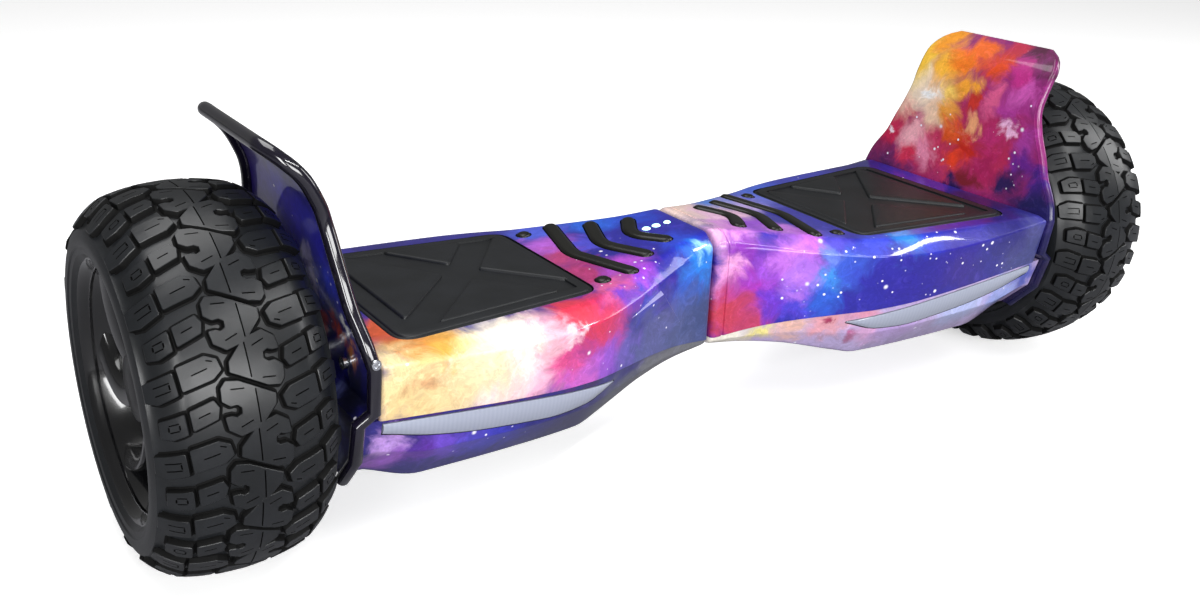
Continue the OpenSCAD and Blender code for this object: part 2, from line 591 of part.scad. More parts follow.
// Fender: one curved plate, from under the body up the end and out over the tyre
fender_bot = ground_clear + 12;
function fender_x(t) = lookup(t, [[0, 0], [0.3, 6], [0.56, 9], [0.68, 11.5], [0.76, 15], [0.85, 20.5],
                                  [0.92, 27.5], [0.97, 34], [1, 38.5]]) * fender_flare / 41;
fender_line = concat([[low_end + fit, fender_bot], [low_end + fit, part_z(body_end) + 0.6],
                      [body_end + fit, part_z(body_end) + 6.5]],
                     [for (t = [0, 0.08, 0.18, 0.3, 0.43, 0.56, 0.68, 0.76, 0.85, 0.92, 0.97, 1])
                      [body_end + fit + fender_x(t), mix(deck_z, fender_top, t) - (1 - t) * 3]]);
function normal_at(line, i) = let (a = line[max(0, i - 1)], b = line[min(len(line) - 1, i + 1)], d = b - a)
  [d[1], -d[0]] / norm(d);
function fender_half(t) = lookup(t, [[0, deck_d / 2 - 1], [0.1, deck_d / 2 - 5], [0.25, fender_lip_d / 2 + 19],
                                     [0.37, fender_lip_d / 2 + 13], [0.52, fender_lip_d / 2 + 5],
                                     [0.66, fender_lip_d / 2], [0.88, fender_lip_d / 2 + 1],
                                     [0.94, fender_lip_d / 2 - 3], [0.98, fender_lip_d / 2 - 9],
                                     [1, fender_lip_d / 2 - 15]]);
fender_edge = concat([[floor_y(body_end) + 3, fender_bot], [chine_y(body_end) + 1, chine_z(body_end)],
                      [part_y(body_end) + 1, part_z(body_end)]],
                     [for (t = [0, 0.1, 0.17, 0.25, 0.37, 0.52, 0.66, 0.8, 0.88, 0.94, 0.98, 1])
                      [fender_half(t), mix(deck_z, fender_top + fender_t, t)]]);
module fender(s) side(s) color("midnightblue") difference() {
  intersection() {
    rotate([90, 0, 0]) linear_extrude(height = 2 * deck_d, center = true) polygon(concat(
      fender_line,
      [for (i = [len(fender_line) - 1:-1:0]) fender_line[i] + fender_t * normal_at(fender_line, i)]));
    translate([body_end - 5, 0, 0]) rotate([90, 0, 90]) linear_extrude(height = 2 * fender_flare) polygon(concat(
      fender_edge, [for (i = [len(fender_edge) - 1:-1:0]) [-fender_edge[i][0], fender_edge[i][1]]]));
  }
  rod_x(axle_hole_d, body_end - cut, low_end + 10);
  for (y = fender_screw_y) translate([body_end - cut, y, fender_screw_z]) rotate([0, 90, 0])
    cylinder(d = screw_d + 0.5, h = 20);
}

// Foot pad: rubber with a bevelled border, a raised panel and a sunk cross; it rides on a pressure plate
pad_bevel = 9;
pad_step = 2;
cross_w = 19;
cross_sunk = 1.2;
module foot_pad(s) side(s) color("black") difference() {
  union() {
    pad_prism(0, pad_bot, pad_top - pad_step);
    pad_prism(-pad_bevel, pad_top - pad_step - cut, pad_top);
  }
  translate([(pad_in_x + pad_out_x) / 2 - 4, 0, pad_top - cross_sunk]) linear_extrude(height = 9) difference() {
    union() for (a = [-48, 48]) rotate(a) square([92, cross_w], center = true);
    for (x = [-60, 44]) translate([x, -100]) square([16, 200]);
  }
}
module pedal_plate(s) side(s) color("darkslategray") {
  difference() {
    pad_prism(-1.5, pedal_bot, pad_bot);
    for (x = tray_post_x) both_y() translate([x, tray_post_y, pedal_bot - cut]) cylinder(d = 6, h = pedal_t + 2 * cut);
  }
  for (x = leg_x) both_y() translate([x - leg_t / 2, leg_y - leg_w / 2, board_top + pad_travel + slip])
    cube([leg_t, leg_w, pedal_bot + cut - board_top - pad_travel - slip]);
}
module pad_stops(s) side(s) color("dimgray")
  for (x = stop_x) both_y() translate([x, tray_post_y, tray_top])
    cylinder(d = 12, h = stop_h);

// Foot-sensor board across the frame rails
board_t = 1.6;
board_top = frame_top + board_t;
module gyro_board(s) side(s) color("darkgreen") {
  x0 = leg_x[0] - 8;
  x1 = clamp_x0 - 3;
  difference() {
    block(x0, x1, -frame_w(x1) + 6, frame_w(x1) - 6, frame_top, board_top);
    for (x = tray_post_x) both_y() translate([x, tray_post_y, 0]) cylinder(d = post_d + 2, h = 2 * axle_z);
  }
  block(x0 + 20, x0 + 34, -8, 8, board_top, board_top + 2.5);
}

// Main board under the left frame, hung on pillars, with capacitors and a heat-sink bar
main_top = frame_bot - 9;
module main_board() side(-1) color("green") {
  x0 = foot_post_x[0] + 14;
  x1 = foot_post_x[1] - 14;
  block(x0, x1, -40, 40, main_top - board_t, main_top);
  for (x = [x0 + 5, x1 - 5]) both_y() translate([x, 34, main_top]) cylinder(d = 7, h = frame_bot - main_top);
  block(x0 + 20, x1 - 20, -30, -18, main_top, frame_bot);
  for (x = [x0 + 14, x0 + 34, x0 + 54]) translate([x, 22, main_top - board_t - 16]) cylinder(d = 14, h = 16);
  block(x0 + 12, x0 + 44, -34, -6, main_top - board_t - 9, main_top - board_t);
  block(x0 + 60, x1 - 12, -34, 6, main_top - board_t - 12, main_top - board_t);
}

// Battery under the right frame: two layers of round cells in one wrapped block, lying on the floor
cell_d = 18.4;
cell_l = 65;
sleeve_groove = 1.2;
module battery_pack() color("steelblue") {
  x1 = foot_post_x[1] - post_d / 2 - 3;
  x0 = x1 - 2 * cell_l;
  z0 = max(floor_z(x0), floor_z(x1)) + shell_t + fit;
  z1 = z0 + 2 * cell_d;
  difference() {
    block(x0, x1, -2.5 * cell_d, 2.5 * cell_d, z0, z1);
    for (i = [-1.5:1:1.5])
      block(x0 - cut, x1 + cut, i * cell_d - sleeve_groove, i * cell_d + sleeve_groove, z1 - sleeve_groove, z1 + cut);
  }
}

// Charging socket and power button, let into bosses in the back of the right lower cover
socket_x = pad_in_x + 14;
button_x = socket_x + 44;
back_z = axle_z - 35;
face_y = chine_y(socket_x) + 1;
socket_d = 19;
collar_d = socket_d + 4;
collar_t = 1.5;
plug_r = 7.5;
plug_l = 6;
pin_l = 7;
socket_l = plug_l + pin_l + 1;
button_d = 14;
button_travel = 2;
button_proud = 1.2;
button_l = 8;
module along_y(x, y0, y1, d) translate([x, y1, back_z]) rotate([90, 0, 0]) cylinder(d = d, h = y1 - y0);
module right_bottom_cover() color("khaki") difference() {
  union() {
    bottom_cover_body();
    intersection() {
      for (x = [socket_x, button_x]) along_y(x, face_y - socket_l, deck_d, collar_d + 4);
      low_solid(seam, low_end, 0, 0);
    }
  }
  for (x = [socket_x, button_x]) {
    along_y(x, face_y, deck_d, collar_d + 2 * fit);
    along_y(x, face_y - socket_l - cut, deck_d, socket_d + 2 * fit);
  }
}
module insert(x, length) {
  along_y(x, face_y - length, face_y + collar_t, socket_d);
  along_y(x, face_y, face_y + collar_t, collar_d);
}
module charge_socket() color("silver") difference() {
  insert(socket_x, socket_l);
  along_y(socket_x, face_y + collar_t - plug_l, deck_d, 2 * plug_r);
  along_y(socket_x, face_y - socket_l + 2.5, deck_d, 2 * plug_r - 1.4);
}
module charge_pins() color("gold") for (a = [90, 210, 330])
  translate([4 * cos(a), 0, 4 * sin(a)]) along_y(socket_x, face_y - socket_l + 2.5, face_y + collar_t - plug_l - fit, 1.8);
module power_switch() color("black") difference() {
  insert(button_x, socket_l);
  along_y(button_x, face_y - button_l - button_travel - fit, deck_d, button_d + 2 * fit);
}
module power_button() color("silver") difference() {
  along_y(button_x, face_y - button_l, face_y + collar_t + button_proud, button_d);
  difference() {
    along_y(button_x, face_y + collar_t + button_proud - 0.4, deck_d, button_d * 0.6);
    along_y(button_x, face_y, deck_d, button_d * 0.45);
  }
}

left_frame();
axle(-1);  // left_axle
stator(-1);  // left_stator
windings(-1);  // left_windings
axle_clamp(-1);  // left_axle_clamp
clamp_bolts(-1);  // left_clamp_bolts
left_top_cover();
left_bottom_cover();
fender(-1);  // left_fender
fender_screws(-1);  // left_fender_screws
cover_screws(-1);  // left_cover_screws
front_light(-1);  // left_front_light
gyro_board(-1);  // left_gyro_board
pad_stops(-1);  // left_pad_stops
grip_bars(-1);  // left_grip_bars
foot_pad(-1);  // left_foot_pad
pedal_plate(-1);  // left_pedal_plate
motor_cable(-1);  // left_motor_cable
tyre(-1);  // left_tyre
rim(-1);  // left_rim
magnet_ring(-1);  // left_magnet_ring
motor_cover(-1);  // left_motor_cover
wheel_bearings(-1);  // left_wheel_bearings
motor_screws(-1);  // left_motor_screws
hub_cap(-1);  // left_hub_cap
right_frame();
axle(1);  // right_axle
stator(1);  // right_stator
windings(1);  // right_windings
axle_clamp(1);  // right_axle_clamp
clamp_bolts(1);  // right_clamp_bolts
right_top_cover();
right_bottom_cover();
fender(1);  // right_fender
fender_screws(1);  // right_fender_screws
cover_screws(1);  // right_cover_screws
front_light(1);  // right_front_light
gyro_board(1);  // right_gyro_board
pad_stops(1);  // right_pad_stops
grip_bars(1);  // right_grip_bars
foot_pad(1);  // right_foot_pad
pedal_plate(1);  // right_pedal_plate
motor_cable(1);  // right_motor_cable
tyre(1);  // right_tyre
rim(1);  // right_rim
magnet_ring(1);  // right_magnet_ring
motor_cover(1);  // right_motor_cover
wheel_bearings(1);  // right_wheel_bearings
motor_screws(1);  // right_motor_screws
hub_cap(1);  // right_hub_cap
pivot_tube();
pivot_bushes();
pivot_circlip();
indicator_lenses();
main_board();
battery_pack();
charge_socket();
charge_pins();
power_switch();
power_button();
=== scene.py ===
"""Looks of the two-wheeled self-balancing board.

Glossy covers with a printed sky, rubber pads and grips, block-treaded tyres and cast rims.
Sizes are in millimetres in the board's frame: X along the axle, -Y the front, Z up. Meshes are in metres.
"""
import math

import bmesh
import bpy
from mathutils import Matrix, Vector
from mathutils.geometry import delaunay_2d_cdt


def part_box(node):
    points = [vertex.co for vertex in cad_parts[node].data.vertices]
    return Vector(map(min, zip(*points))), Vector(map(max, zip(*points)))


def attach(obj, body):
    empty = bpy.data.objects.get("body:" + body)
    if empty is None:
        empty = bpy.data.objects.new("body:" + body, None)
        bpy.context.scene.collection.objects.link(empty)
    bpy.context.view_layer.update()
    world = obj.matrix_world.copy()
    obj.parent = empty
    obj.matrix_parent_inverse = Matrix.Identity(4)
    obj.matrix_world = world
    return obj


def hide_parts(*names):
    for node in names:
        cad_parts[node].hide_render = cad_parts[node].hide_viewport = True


MM = 0.001
LEFT, RIGHT = -1, 1
SIDES = {LEFT: "left", RIGHT: "right"}

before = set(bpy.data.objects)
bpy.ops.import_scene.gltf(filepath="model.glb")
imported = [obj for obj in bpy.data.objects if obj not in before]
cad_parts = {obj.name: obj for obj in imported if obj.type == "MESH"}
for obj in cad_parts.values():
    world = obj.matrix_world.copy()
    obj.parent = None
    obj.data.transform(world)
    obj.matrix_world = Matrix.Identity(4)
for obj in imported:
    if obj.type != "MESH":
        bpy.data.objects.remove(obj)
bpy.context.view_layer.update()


# ---------------------------------------------------------------- sizes read from the frame
def box_mm(node):
    low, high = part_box(node)
    return low / MM, high / MM


cover_low, cover_high = box_mm("right_top_cover")
tub_low, tub_high = box_mm("right_bottom_cover")
pad_low, pad_high = box_mm("right_foot_pad")
tyre_low, tyre_high = box_mm("right_tyre")
_, fender_high = box_mm("right_fender")
light_low, light_high = box_mm("right_front_light")
_, rim_high = box_mm("right_rim")
_, frame_high = box_mm("right_frame")

SEAM, BODY_END, LOW_END = cover_low.x, cover_high.x, tub_high.x
DECK_HALF, CROWN_Z = cover_high.y, cover_high.z
WAIST_HALF = 37  # half the cover's depth at the seam
TYRE_R = tyre_high.y
AXLE_Z = TYRE_R
WHEEL_MID = (tyre_low.x + tyre_high.x) / 2
TYRE_HALF = (tyre_high.x - tyre_low.x) / 2
RIM_R = rim_high.y
LIP_U = rim_high.x - WHEEL_MID
PAD_IN, PAD_OUT, PAD_TOP, PAD_BOT = pad_low.x, pad_high.x, pad_high.z, pad_low.z
DECK_Z = PAD_TOP - 2
FLOOR_Z = tub_low.z
FENDER_TOP, FENDER_OUT = fender_high.z, fender_high.x
RAMP_END = PAD_IN - 5
RAMP_ANGLE = math.atan2(CROWN_Z - DECK_Z, RAMP_END - SEAM)
SHELL_T = 3  # the covers' wall
TUB_IN = 1.3  # how far the bottom cover stands in under the top one
PAD_HALF_IN, PAD_HALF_OUT, PAD_CORNER = 60, 74, 13
SCREW_WELL = 9  # across, and up from the bottom cover's floor
SLOT_DRAFT = 0.12  # how much narrower a slot is at its floor
WELD = 0.02  # points nearer than this are one


# ---------------------------------------------------------------- lines and outlines
def mix(a, b, t):
    """The value a share t of the way from a to b."""
    return a + (b - a) * t


def curve(*points):
    """A smooth line through the points that never overshoots them."""
    xs, ys = zip(*points)
    slopes = [(ys[i + 1] - ys[i]) / (xs[i + 1] - xs[i]) for i in range(len(xs) - 1)]
    tangents = [slopes[0]]
    tangents += [0 if a * b <= 0 else 2 * a * b / (a + b) for a, b in zip(slopes, slopes[1:])]
    tangents += [slopes[-1]]

    def at(x):
        x = min(max(x, xs[0]), xs[-1])
        i = max([k for k in range(len(xs) - 1) if xs[k] <= x])
        h = xs[i + 1] - xs[i]
        t = (x - xs[i]) / h
        return (
            (1 + 2 * t) * (1 - t) ** 2 * ys[i]
            + t * (1 - t) ** 2 * h * tangents[i]
            + t * t * (3 - 2 * t) * ys[i + 1]
            + t * t * (t - 1) * h * tangents[i + 1]
        )

    return at


def fillet(points, radii, closed=False, steps=5):
    """The line with each corner turned at its radius; a single radius serves every corner."""
    points = [Vector(p) for p in points]
    count = len(points)
    corners = range(count) if closed else range(1, count - 1)
    if not hasattr(radii, "__len__"):
        radii = [radii] * len(corners)
    line = [] if closed else [points[0]]
    for i, radius in zip(corners, radii):
        a, b, c = points[i - 1], points[i], points[(i + 1) % count]
        u, v = a - b, c - b
        half = max(u.angle(v) / 2, 0.05)
        reach = min(radius / math.tan(half), 0.48 * u.length, 0.48 * v.length)
        p, q = b + u.normalized() * reach, b + v.normalized() * reach
        for k in range(steps + 1):
            t = k / steps
            line.append(p * (1 - t) ** 2 + b * (2 * t * (1 - t)) + q * t * t)
    if not closed:
        line.append(points[-1])
    return line


def spread(line, spacing, closed=False):
    """The line with points added so that none are further apart than spacing."""
    out = []
    pairs = list(zip(line, line[1:])) + ([(line[-1], line[0])] if closed else [])
    for a, b in pairs:
        steps = max(1, math.ceil((b - a).length / spacing))
        out += [a.lerp(b, k / steps) for k in range(steps)]
    if not closed:
        out.append(line[-1])
    return out


def area(outline):
    """An outline's area, positive if it runs anticlockwise."""
    return sum(a.x * b.y - b.x * a.y for a, b in zip(outline, outline[1:] + outline[:1])) / 2


def anticlockwise(outline):
    outline = [Vector(p) for p in outline]
    return outline if area(outline) > 0 else outline[::-1]


def inset(outline, distance):
    """An anticlockwise outline moved inward."""
    moved = []
    for a, b, c in zip(outline[-1:] + outline[:-1], outline, outline[1:] + outline[:1]):
        u, v = (b - a).normalized(), (c - b).normalized()
        n = Vector((-u.y - v.y, u.x + v.x))
        if n.length < 1e-6:
            n = Vector((-u.y, u.x)) * 2
        moved.append(b + n * (2 * distance / max(n.length_squared, 0.8)))
    return moved


def inside(point, outline):
    hit = False
    for a, b in zip(outline, outline[1:] + outline[:1]):
        if (a.y > point.y) != (b.y > point.y) and point.x < (b.x - a.x) * (point.y - a.y) / (b.y - a.y) + a.x:
            hit = not hit
    return hit


def clear_of(point, outline, distance):
    for a, b in zip(outline, outline[1:] + outline[:1]):
        side = b - a
        t = max(0, min(1, (point - a).dot(side) / max(side.length_squared, 1e-9)))
        if (point - a - side * t).length < distance:
            return False
    return True


def stroke(line, width, steps=6):
    """Outline of a round-ended line of that width."""
    line = [Vector(p) for p in line]
    out = []
    for path in (line, line[::-1]):
        for i, p in enumerate(path[:-1]):
            d = (path[i + 1] - p).normalized()
            n = Vector((d.y, -d.x)) * width / 2
            if i == 0:
                for k in range(steps + 1):
                    turn = Matrix.Rotation(math.pi * (k / steps - 1), 2)
                    out.append(p + turn @ n)
            else:
                before = (p - path[i - 1]).normalized()
                m = (n.normalized() + Vector((before.y, -before.x))).normalized()
                out.append(p + m * (width / 2 / max(0.4, m.dot(n.normalized()))))
    return anticlockwise(out)


def clipped(outline, point, along):
    """The part of a convex outline on the left of the line through point."""
    point, along = Vector(point), Vector(along)

    def height(p):
        return along.x * (p.y - point.y) - along.y * (p.x - point.x)

    out = []
    for a, b in zip(outline, outline[1:] + outline[:1]):
        ha, hb = height(a), height(b)
        if ha >= 0:
            out.append(a)
        if (ha < 0) != (hb < 0):
            out.append(a.lerp(b, ha / (ha - hb)))
    return out


# ---------------------------------------------------------------- surfaces
def cap(outline, slots, spacing, height):
    """A flat face inside the outline and outside the slots, divided finely enough to be bent."""
    points = list(outline)
    edges = [(i, (i + 1) % len(outline)) for i in range(len(outline))]
    for slot in slots:
        start = len(points)
        points += slot
        edges += [(start + i, start + (i + 1) % len(slot)) for i in range(len(slot))]
    low = Vector((min(p.x for p in outline), min(p.y for p in outline)))
    high = Vector((max(p.x for p in outline), max(p.y for p in outline)))
    for i in range(1, int((high.x - low.x) / spacing) + 1):
        for j in range(1, int((high.y - low.y) / spacing) + 1):
            p = low + Vector((i, j)) * spacing
            if inside(p, outline) and clear_of(p, outline, spacing * 0.4):
                if all(not inside(p, s) and clear_of(p, s, spacing * 0.25) for s in slots):
                    points.append(p)
    verts, _, faces, *_ = delaunay_2d_cdt(points, edges, [], 0, 1e-4)
    kept = []
    for face in faces:
        middle = sum((verts[i] for i in face), Vector((0, 0))) / len(face)
        if inside(middle, outline) and not any(inside(middle, s) for s in slots):
            kept.append(face)
    return [Vector((*p, height)) for p in verts], kept


def band(lower, upper, closed=True):
    """Faces between two lines of as many points."""
    count = len(lower)
    points = list(lower) + list(upper)
    last = count if closed else count - 1
    faces = [(i, (i + 1) % count, count + (i + 1) % count, count + i) for i in range(last)]
    return points, faces


def joined(*parts):
    """Several shapes as one."""
    points, faces = [], []
    for p, f in parts:
        start = len(points)
        points += list(p)
        faces += [tuple(start + i for i in face) for face in f]
    return points, faces


def raised(outline, edge, slots=(), slot_depth=2.0, spacing=5.0):
    """A block with slots in its top; edge lists (inset, height) from the top face down its sides."""
    outline = spread(anticlockwise(outline), spacing, closed=True)
    rings = [[Vector((*p, height)) for p in inset(outline, amount)] for amount, height in edge]
    top = edge[0][1]
    slots = [spread(anticlockwise(s), spacing, closed=True) for s in slots]
    parts = [cap([Vector(p[:2]) for p in rings[0]], slots, spacing, top)]
    parts += [band(a, b) for a, b in zip(rings, rings[1:])]
    for slot in slots:
        floor = [Vector((*p, top - slot_depth)) for p in inset(slot, SLOT_DRAFT)]
        parts.append(band([Vector((*p, top)) for p in slot], floor))
        parts.append(cap([Vector(p[:2]) for p in floor], [], spacing, top - slot_depth))
    return joined(*parts)


def lofted(rings):
    """A closed solid through equal rings."""
    points = [p for ring in rings for p in ring]
    n, last = len(rings[0]), len(rings) - 1
    faces = [tuple(range(n)), tuple(last * n + j for j in range(n - 1, -1, -1))]
    for i in range(last):
        for j in range(n):
            k = (j + 1) % n
            faces.append((i * n + j, i * n + k, (i + 1) * n + k, (i + 1) * n + j))
    return points, faces


def prism(outline, z0, z1):
    """A flat outline drawn up from z0 to z1."""
    outline = [Vector(p) for p in outline]
    return lofted([[Vector((*p, z0)) for p in outline], [Vector((*p, z1)) for p in outline]])


def turned(profile, steps=96):
    """A ring about the wheel's axis from a closed line of (along, radius) points."""
    points, faces = [], []
    n = len(profile)
    for i in range(steps):
        a = 2 * math.pi * i / steps
        points += [Vector((u, -r * math.sin(a), r * math.cos(a))) for u, r in profile]
        for j in range(n):
            k, m = (j + 1) % n, (i + 1) % steps
            faces.append((i * n + j, i * n + k, m * n + k, m * n + j))
    return points, faces


def disc_x(x0, x1, diameter, y=0.0, z=None, steps=48):
    """A round bar from x0 to x1, on the axle's line unless y and z say otherwise."""
    z = AXLE_Z if z is None else z
    half = diameter / 2
    ring = [(math.cos(2 * math.pi * k / steps), math.sin(2 * math.pi * k / steps)) for k in range(steps)]
    return lofted([[Vector((x, y + half * c, z + half * s)) for c, s in ring] for x in (x0, x1)])


def circle(x, y, diameter, steps=32):
    half = diameter / 2
    turns = [2 * math.pi * k / steps for k in range(steps)]
    return [Vector((x + half * math.cos(a), y + half * math.sin(a))) for a in turns]


def lift(shape, height):
    points, faces = shape
    return [Vector((p[0], p[1], p[2] + height)) for p in points], faces


def mesh_object(name, shape, materials, sharp=35, flip=False):
    """An object in metres from points and faces in millimetres; flip mirrors it to the left half."""
    points, faces = shape
    mesh = bpy.data.meshes.new(name)
    sign = -1 if flip else 1
    mesh.from_pydata([(sign * p[0] * MM, p[1] * MM, p[2] * MM) for p in points], [], faces)
    bm = bmesh.new()
    bm.from_mesh(mesh)
    bmesh.ops.remove_doubles(bm, verts=bm.verts, dist=WELD * MM)
    bmesh.ops.recalc_face_normals(bm, faces=bm.faces)
    bm.to_mesh(mesh)
    bm.free()
    for material in materials:
        mesh.materials.append(material)
    obj = bpy.data.objects.new(name, mesh)
    bpy.context.scene.collection.objects.link(obj)
    shade(obj, sharp)
    return obj


def half_object(side, name, shape, materials, sharp=35):
    """A piece of one half: drawn on the right, mirrored for the left, and named for its side."""
    return mesh_object(f"{SIDES[side]}_{name}", shape, materials, sharp, flip=side == LEFT)


def shade(obj, sharp):
    """Smooth shading that breaks where faces meet at more than `sharp` degrees."""
    obj.data.polygons.foreach_set("use_smooth", [True] * len(obj.data.polygons))
    obj.data.set_sharp_from_angle(angle=math.radians(sharp))


def bake(obj):
    """Replaces the mesh by what its modifiers make of it."""
    graph = bpy.context.evaluated_depsgraph_get()
    made = bpy.data.meshes.new_from_object(obj.evaluated_get(graph))
    obj.modifiers.clear()
    obj.data = made


def carve(obj, shape, operation="DIFFERENCE", flip=False):
    """Cuts a shape out of the piece, or joins it on, with the cut faces in the piece's second material."""
    tool = mesh_object("tool", shape, list(obj.data.materials), flip=flip)
    if len(obj.data.materials) > 1:
        index = 1 if operation == "DIFFERENCE" else 0
        tool.data.polygons.foreach_set("material_index", [index] * len(tool.data.polygons))
    step = obj.modifiers.new("carve", "BOOLEAN")
    step.object, step.operation, step.solver, step.material_mode = tool, operation, "EXACT", "INDEX"
    bake(obj)
    bpy.data.objects.remove(tool)


def place(obj, body, slot, *nodes):
    """Rides the piece on its body in place of the nodes that it stands for; slot is not used."""
    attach(obj, body)
    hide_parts(*nodes)


# ---------------------------------------------------------------- materials
def srgb(colour):
    """Linear red, green, blue and alpha of an sRGB hex."""
    channels = [int(colour[i:i + 2], 16) / 255 for i in (1, 3, 5)]
    return [c / 12.92 if c <= 0.04045 else ((c + 0.055) / 1.055) ** 2.4 for c in channels] + [1.0]


def add(tree, kind, **settings):
    """A node with its settings and links.

    A name in lower case is one of the node's properties, I0 or I6 is an input by its number, and any
    other is an input by its name. An input's value is a number, a colour or another node's socket.
    """
    made = tree.nodes.new("ShaderNode" + kind)
    for name, value in settings.items():
        if name[0].islower():
            setattr(made, name, value)
            continue
        if name[0] == "I" and name[1:].isdigit():
            socket = made.inputs[int(name[1:])]
        else:
            socket = made.inputs[name.replace("_", " ")]
        if isinstance(value, bpy.types.NodeSocket):
            tree.links.new(value, socket)
        else:
            socket.default_value = value
    return made


def new_material(name, **shader):
    """A material with its shader, and the place on the object in millimetres for its patterns."""
    material = bpy.data.materials.new(name)
    material.use_nodes = True
    tree = material.node_tree
    tree.nodes.clear()
    surface = add(tree, "BsdfPrincipled", **shader)
    add(tree, "OutputMaterial", Surface=surface.outputs[0])
    place_m = add(tree, "TexCoord").outputs["Object"]
    place_mm = add(tree, "VectorMath", operation="SCALE", I0=place_m, Scale=1 / MM)
    return material, tree, surface, place_mm.outputs[0]


# The print's sizes, in millimetres
BILLOW, DRIFT = 24, 44  # the width of its billows, and how far they push a cloud's edge about
WISP, VEIL = 9, 13
SPECKS = [(5.5, 0.13, 0.10), (9, 0.11, 0.09), (26, 0.05, 0.07)]  # spacing, then core and edge as shares of it
LACQUER_RIPPLE = 2.2
TONE = 28  # patches of uneven tone on moulded and machined pieces


def nearness(tree, where, middle, full, gone, **settings):
    """1 within `full` millimetres of the middle, fading to 0 at `gone`."""
    away = add(tree, "VectorMath", operation="DISTANCE", I0=where, I1=middle)
    fade = add(tree, "MapRange", **settings, Value=away.outputs["Value"],
               From_Min=full, From_Max=gone, To_Min=1.0, To_Max=0.0)
    return fade.outputs[0]


def ink_clouds(tree, drift, ground, clouds):
    """The ground colour with each cloud's ink laid over it, thinning out toward the cloud's edge."""
    colour = srgb(ground)
    for x, y, z, radius, ink in clouds:
        near = nearness(tree, drift, (x, y, z), radius * 0.3, radius * 1.2, interpolation_type="SMOOTHSTEP")
        colour = add(tree, "Mix", data_type="RGBA", Factor=near, I6=colour, I7=srgb(ink)).outputs[2]
    return colour


def wisps_and_veil(tree, where, drift, colour):
    """Fine wisps that darken and lighten the ink, under a thin pale veil of the same hue."""
    wisp = add(tree, "TexNoise", Vector=drift, Scale=1 / WISP, Detail=7, Roughness=0.68, Distortion=1.2)
    wisps = add(tree, "MapRange", Value=wisp.outputs["Fac"],
                From_Min=0.3, From_Max=0.72, To_Min=0.74, To_Max=1.16)
    shaded = add(tree, "VectorMath", operation="SCALE", I0=colour, Scale=wisps.outputs[0])
    veil = add(tree, "TexNoise", Vector=where, Scale=1 / VEIL, Detail=8, Roughness=0.7, Distortion=2.2)
    thin = add(tree, "MapRange", Value=veil.outputs["Fac"],
               From_Min=0.53, From_Max=0.72, To_Min=0.0, To_Max=0.5)
    glow = add(tree, "VectorMath", operation="MULTIPLY_ADD",
               I0=colour, I1=(1.5, 1.5, 1.5), I2=(0.04, 0.03, 0.08))
    lit = add(tree, "Mix", data_type="RGBA", Factor=thin.outputs[0], I6=shaded.outputs[0], I7=glow.outputs[0])
    return lit.outputs[2]


def star_crowd(tree, drift, star_fields):
    """How thick the stars are: sparse all over, and thick inside the star fields."""
    gather = None
    for x, y, z, radius in star_fields:
        near = nearness(tree, drift, (x, y, z), radius * 0.4, radius * 1.1)
        if gather is not None:
            near = add(tree, "Math", operation="MAXIMUM", I0=gather, I1=near).outputs[0]
        gather = near
    return add(tree, "MapRange", Value=gather, To_Min=0.52, To_Max=1.0).outputs[0]


def star_specks(tree, where, crowd, colour):
    """White specks of a few sizes; a cell's two random numbers give its speck's size and whether it shows."""
    for spacing, size, reach in SPECKS:
        cell = add(tree, "TexVoronoi", Vector=where, Scale=1 / spacing, Randomness=1.0)
        chance = add(tree, "SeparateColor", Color=cell.outputs["Color"])
        wide = add(tree, "Math", operation="MULTIPLY", I0=chance.outputs[0], I1=size)
        bright = add(tree, "Math", operation="MULTIPLY", I0=chance.outputs[1], I1=crowd)
        far = add(tree, "Math", operation="ADD", I0=wide.outputs[0], I1=reach)
        speck = add(tree, "MapRange", interpolation_type="SMOOTHSTEP", Value=cell.outputs["Distance"],
                    From_Min=wide.outputs[0], From_Max=far.outputs[0], To_Min=1.0, To_Max=0.0)
        gate = add(tree, "Math", operation="GREATER_THAN", I0=bright.outputs[0], I1=0.5)
        strength = add(tree, "Math", operation="MULTIPLY", I0=speck.outputs[0], I1=gate.outputs[0])
        colour = add(tree, "Mix", data_type="RGBA",
                     Factor=strength.outputs[0], I6=colour, I7=srgb("#f4f1ff")).outputs[2]
    return colour


def sky_print(name, ground, clouds, star_fields):
    """Water-transfer print of a night sky under clear lacquer: clouds of ink, fine wisps and white specks.

    The clouds are (x, y, z, radius, colour) and the star fields (x, y, z, radius), in millimetres. The
    lacquer over the ink gives it depth and sharp highlights.
    """
    material, tree, surface, where = new_material(
        name, Roughness=0.35, Coat_Weight=0.8, Coat_Roughness=0.05, Coat_IOR=1.45, Specular_IOR_Level=0.25
    )
    billow = add(tree, "TexNoise", Vector=where, Scale=1 / BILLOW, Detail=5, Roughness=0.62, Distortion=0.6)
    shift = add(tree, "VectorMath", operation="SUBTRACT", I0=billow.outputs["Color"], I1=(0.5, 0.5, 0.5))
    pushed = add(tree, "VectorMath", operation="MULTIPLY_ADD", I0=shift.outputs[0], I1=(DRIFT,) * 3, I2=where)
    drift = pushed.outputs[0]
    ink = wisps_and_veil(tree, where, drift, ink_clouds(tree, drift, ground, clouds))
    sky = star_specks(tree, where, star_crowd(tree, drift, star_fields), ink)
    tree.links.new(sky, surface.inputs["Base Color"])
    ripple = add(tree, "TexNoise", Vector=where, Scale=1 / LACQUER_RIPPLE, Detail=2)
    flow = add(tree, "Bump", Strength=0.035, Distance=0.0002, Height=ripple.outputs["Fac"])
    tree.links.new(flow.outputs[0], surface.inputs["Coat Normal"])
    return material


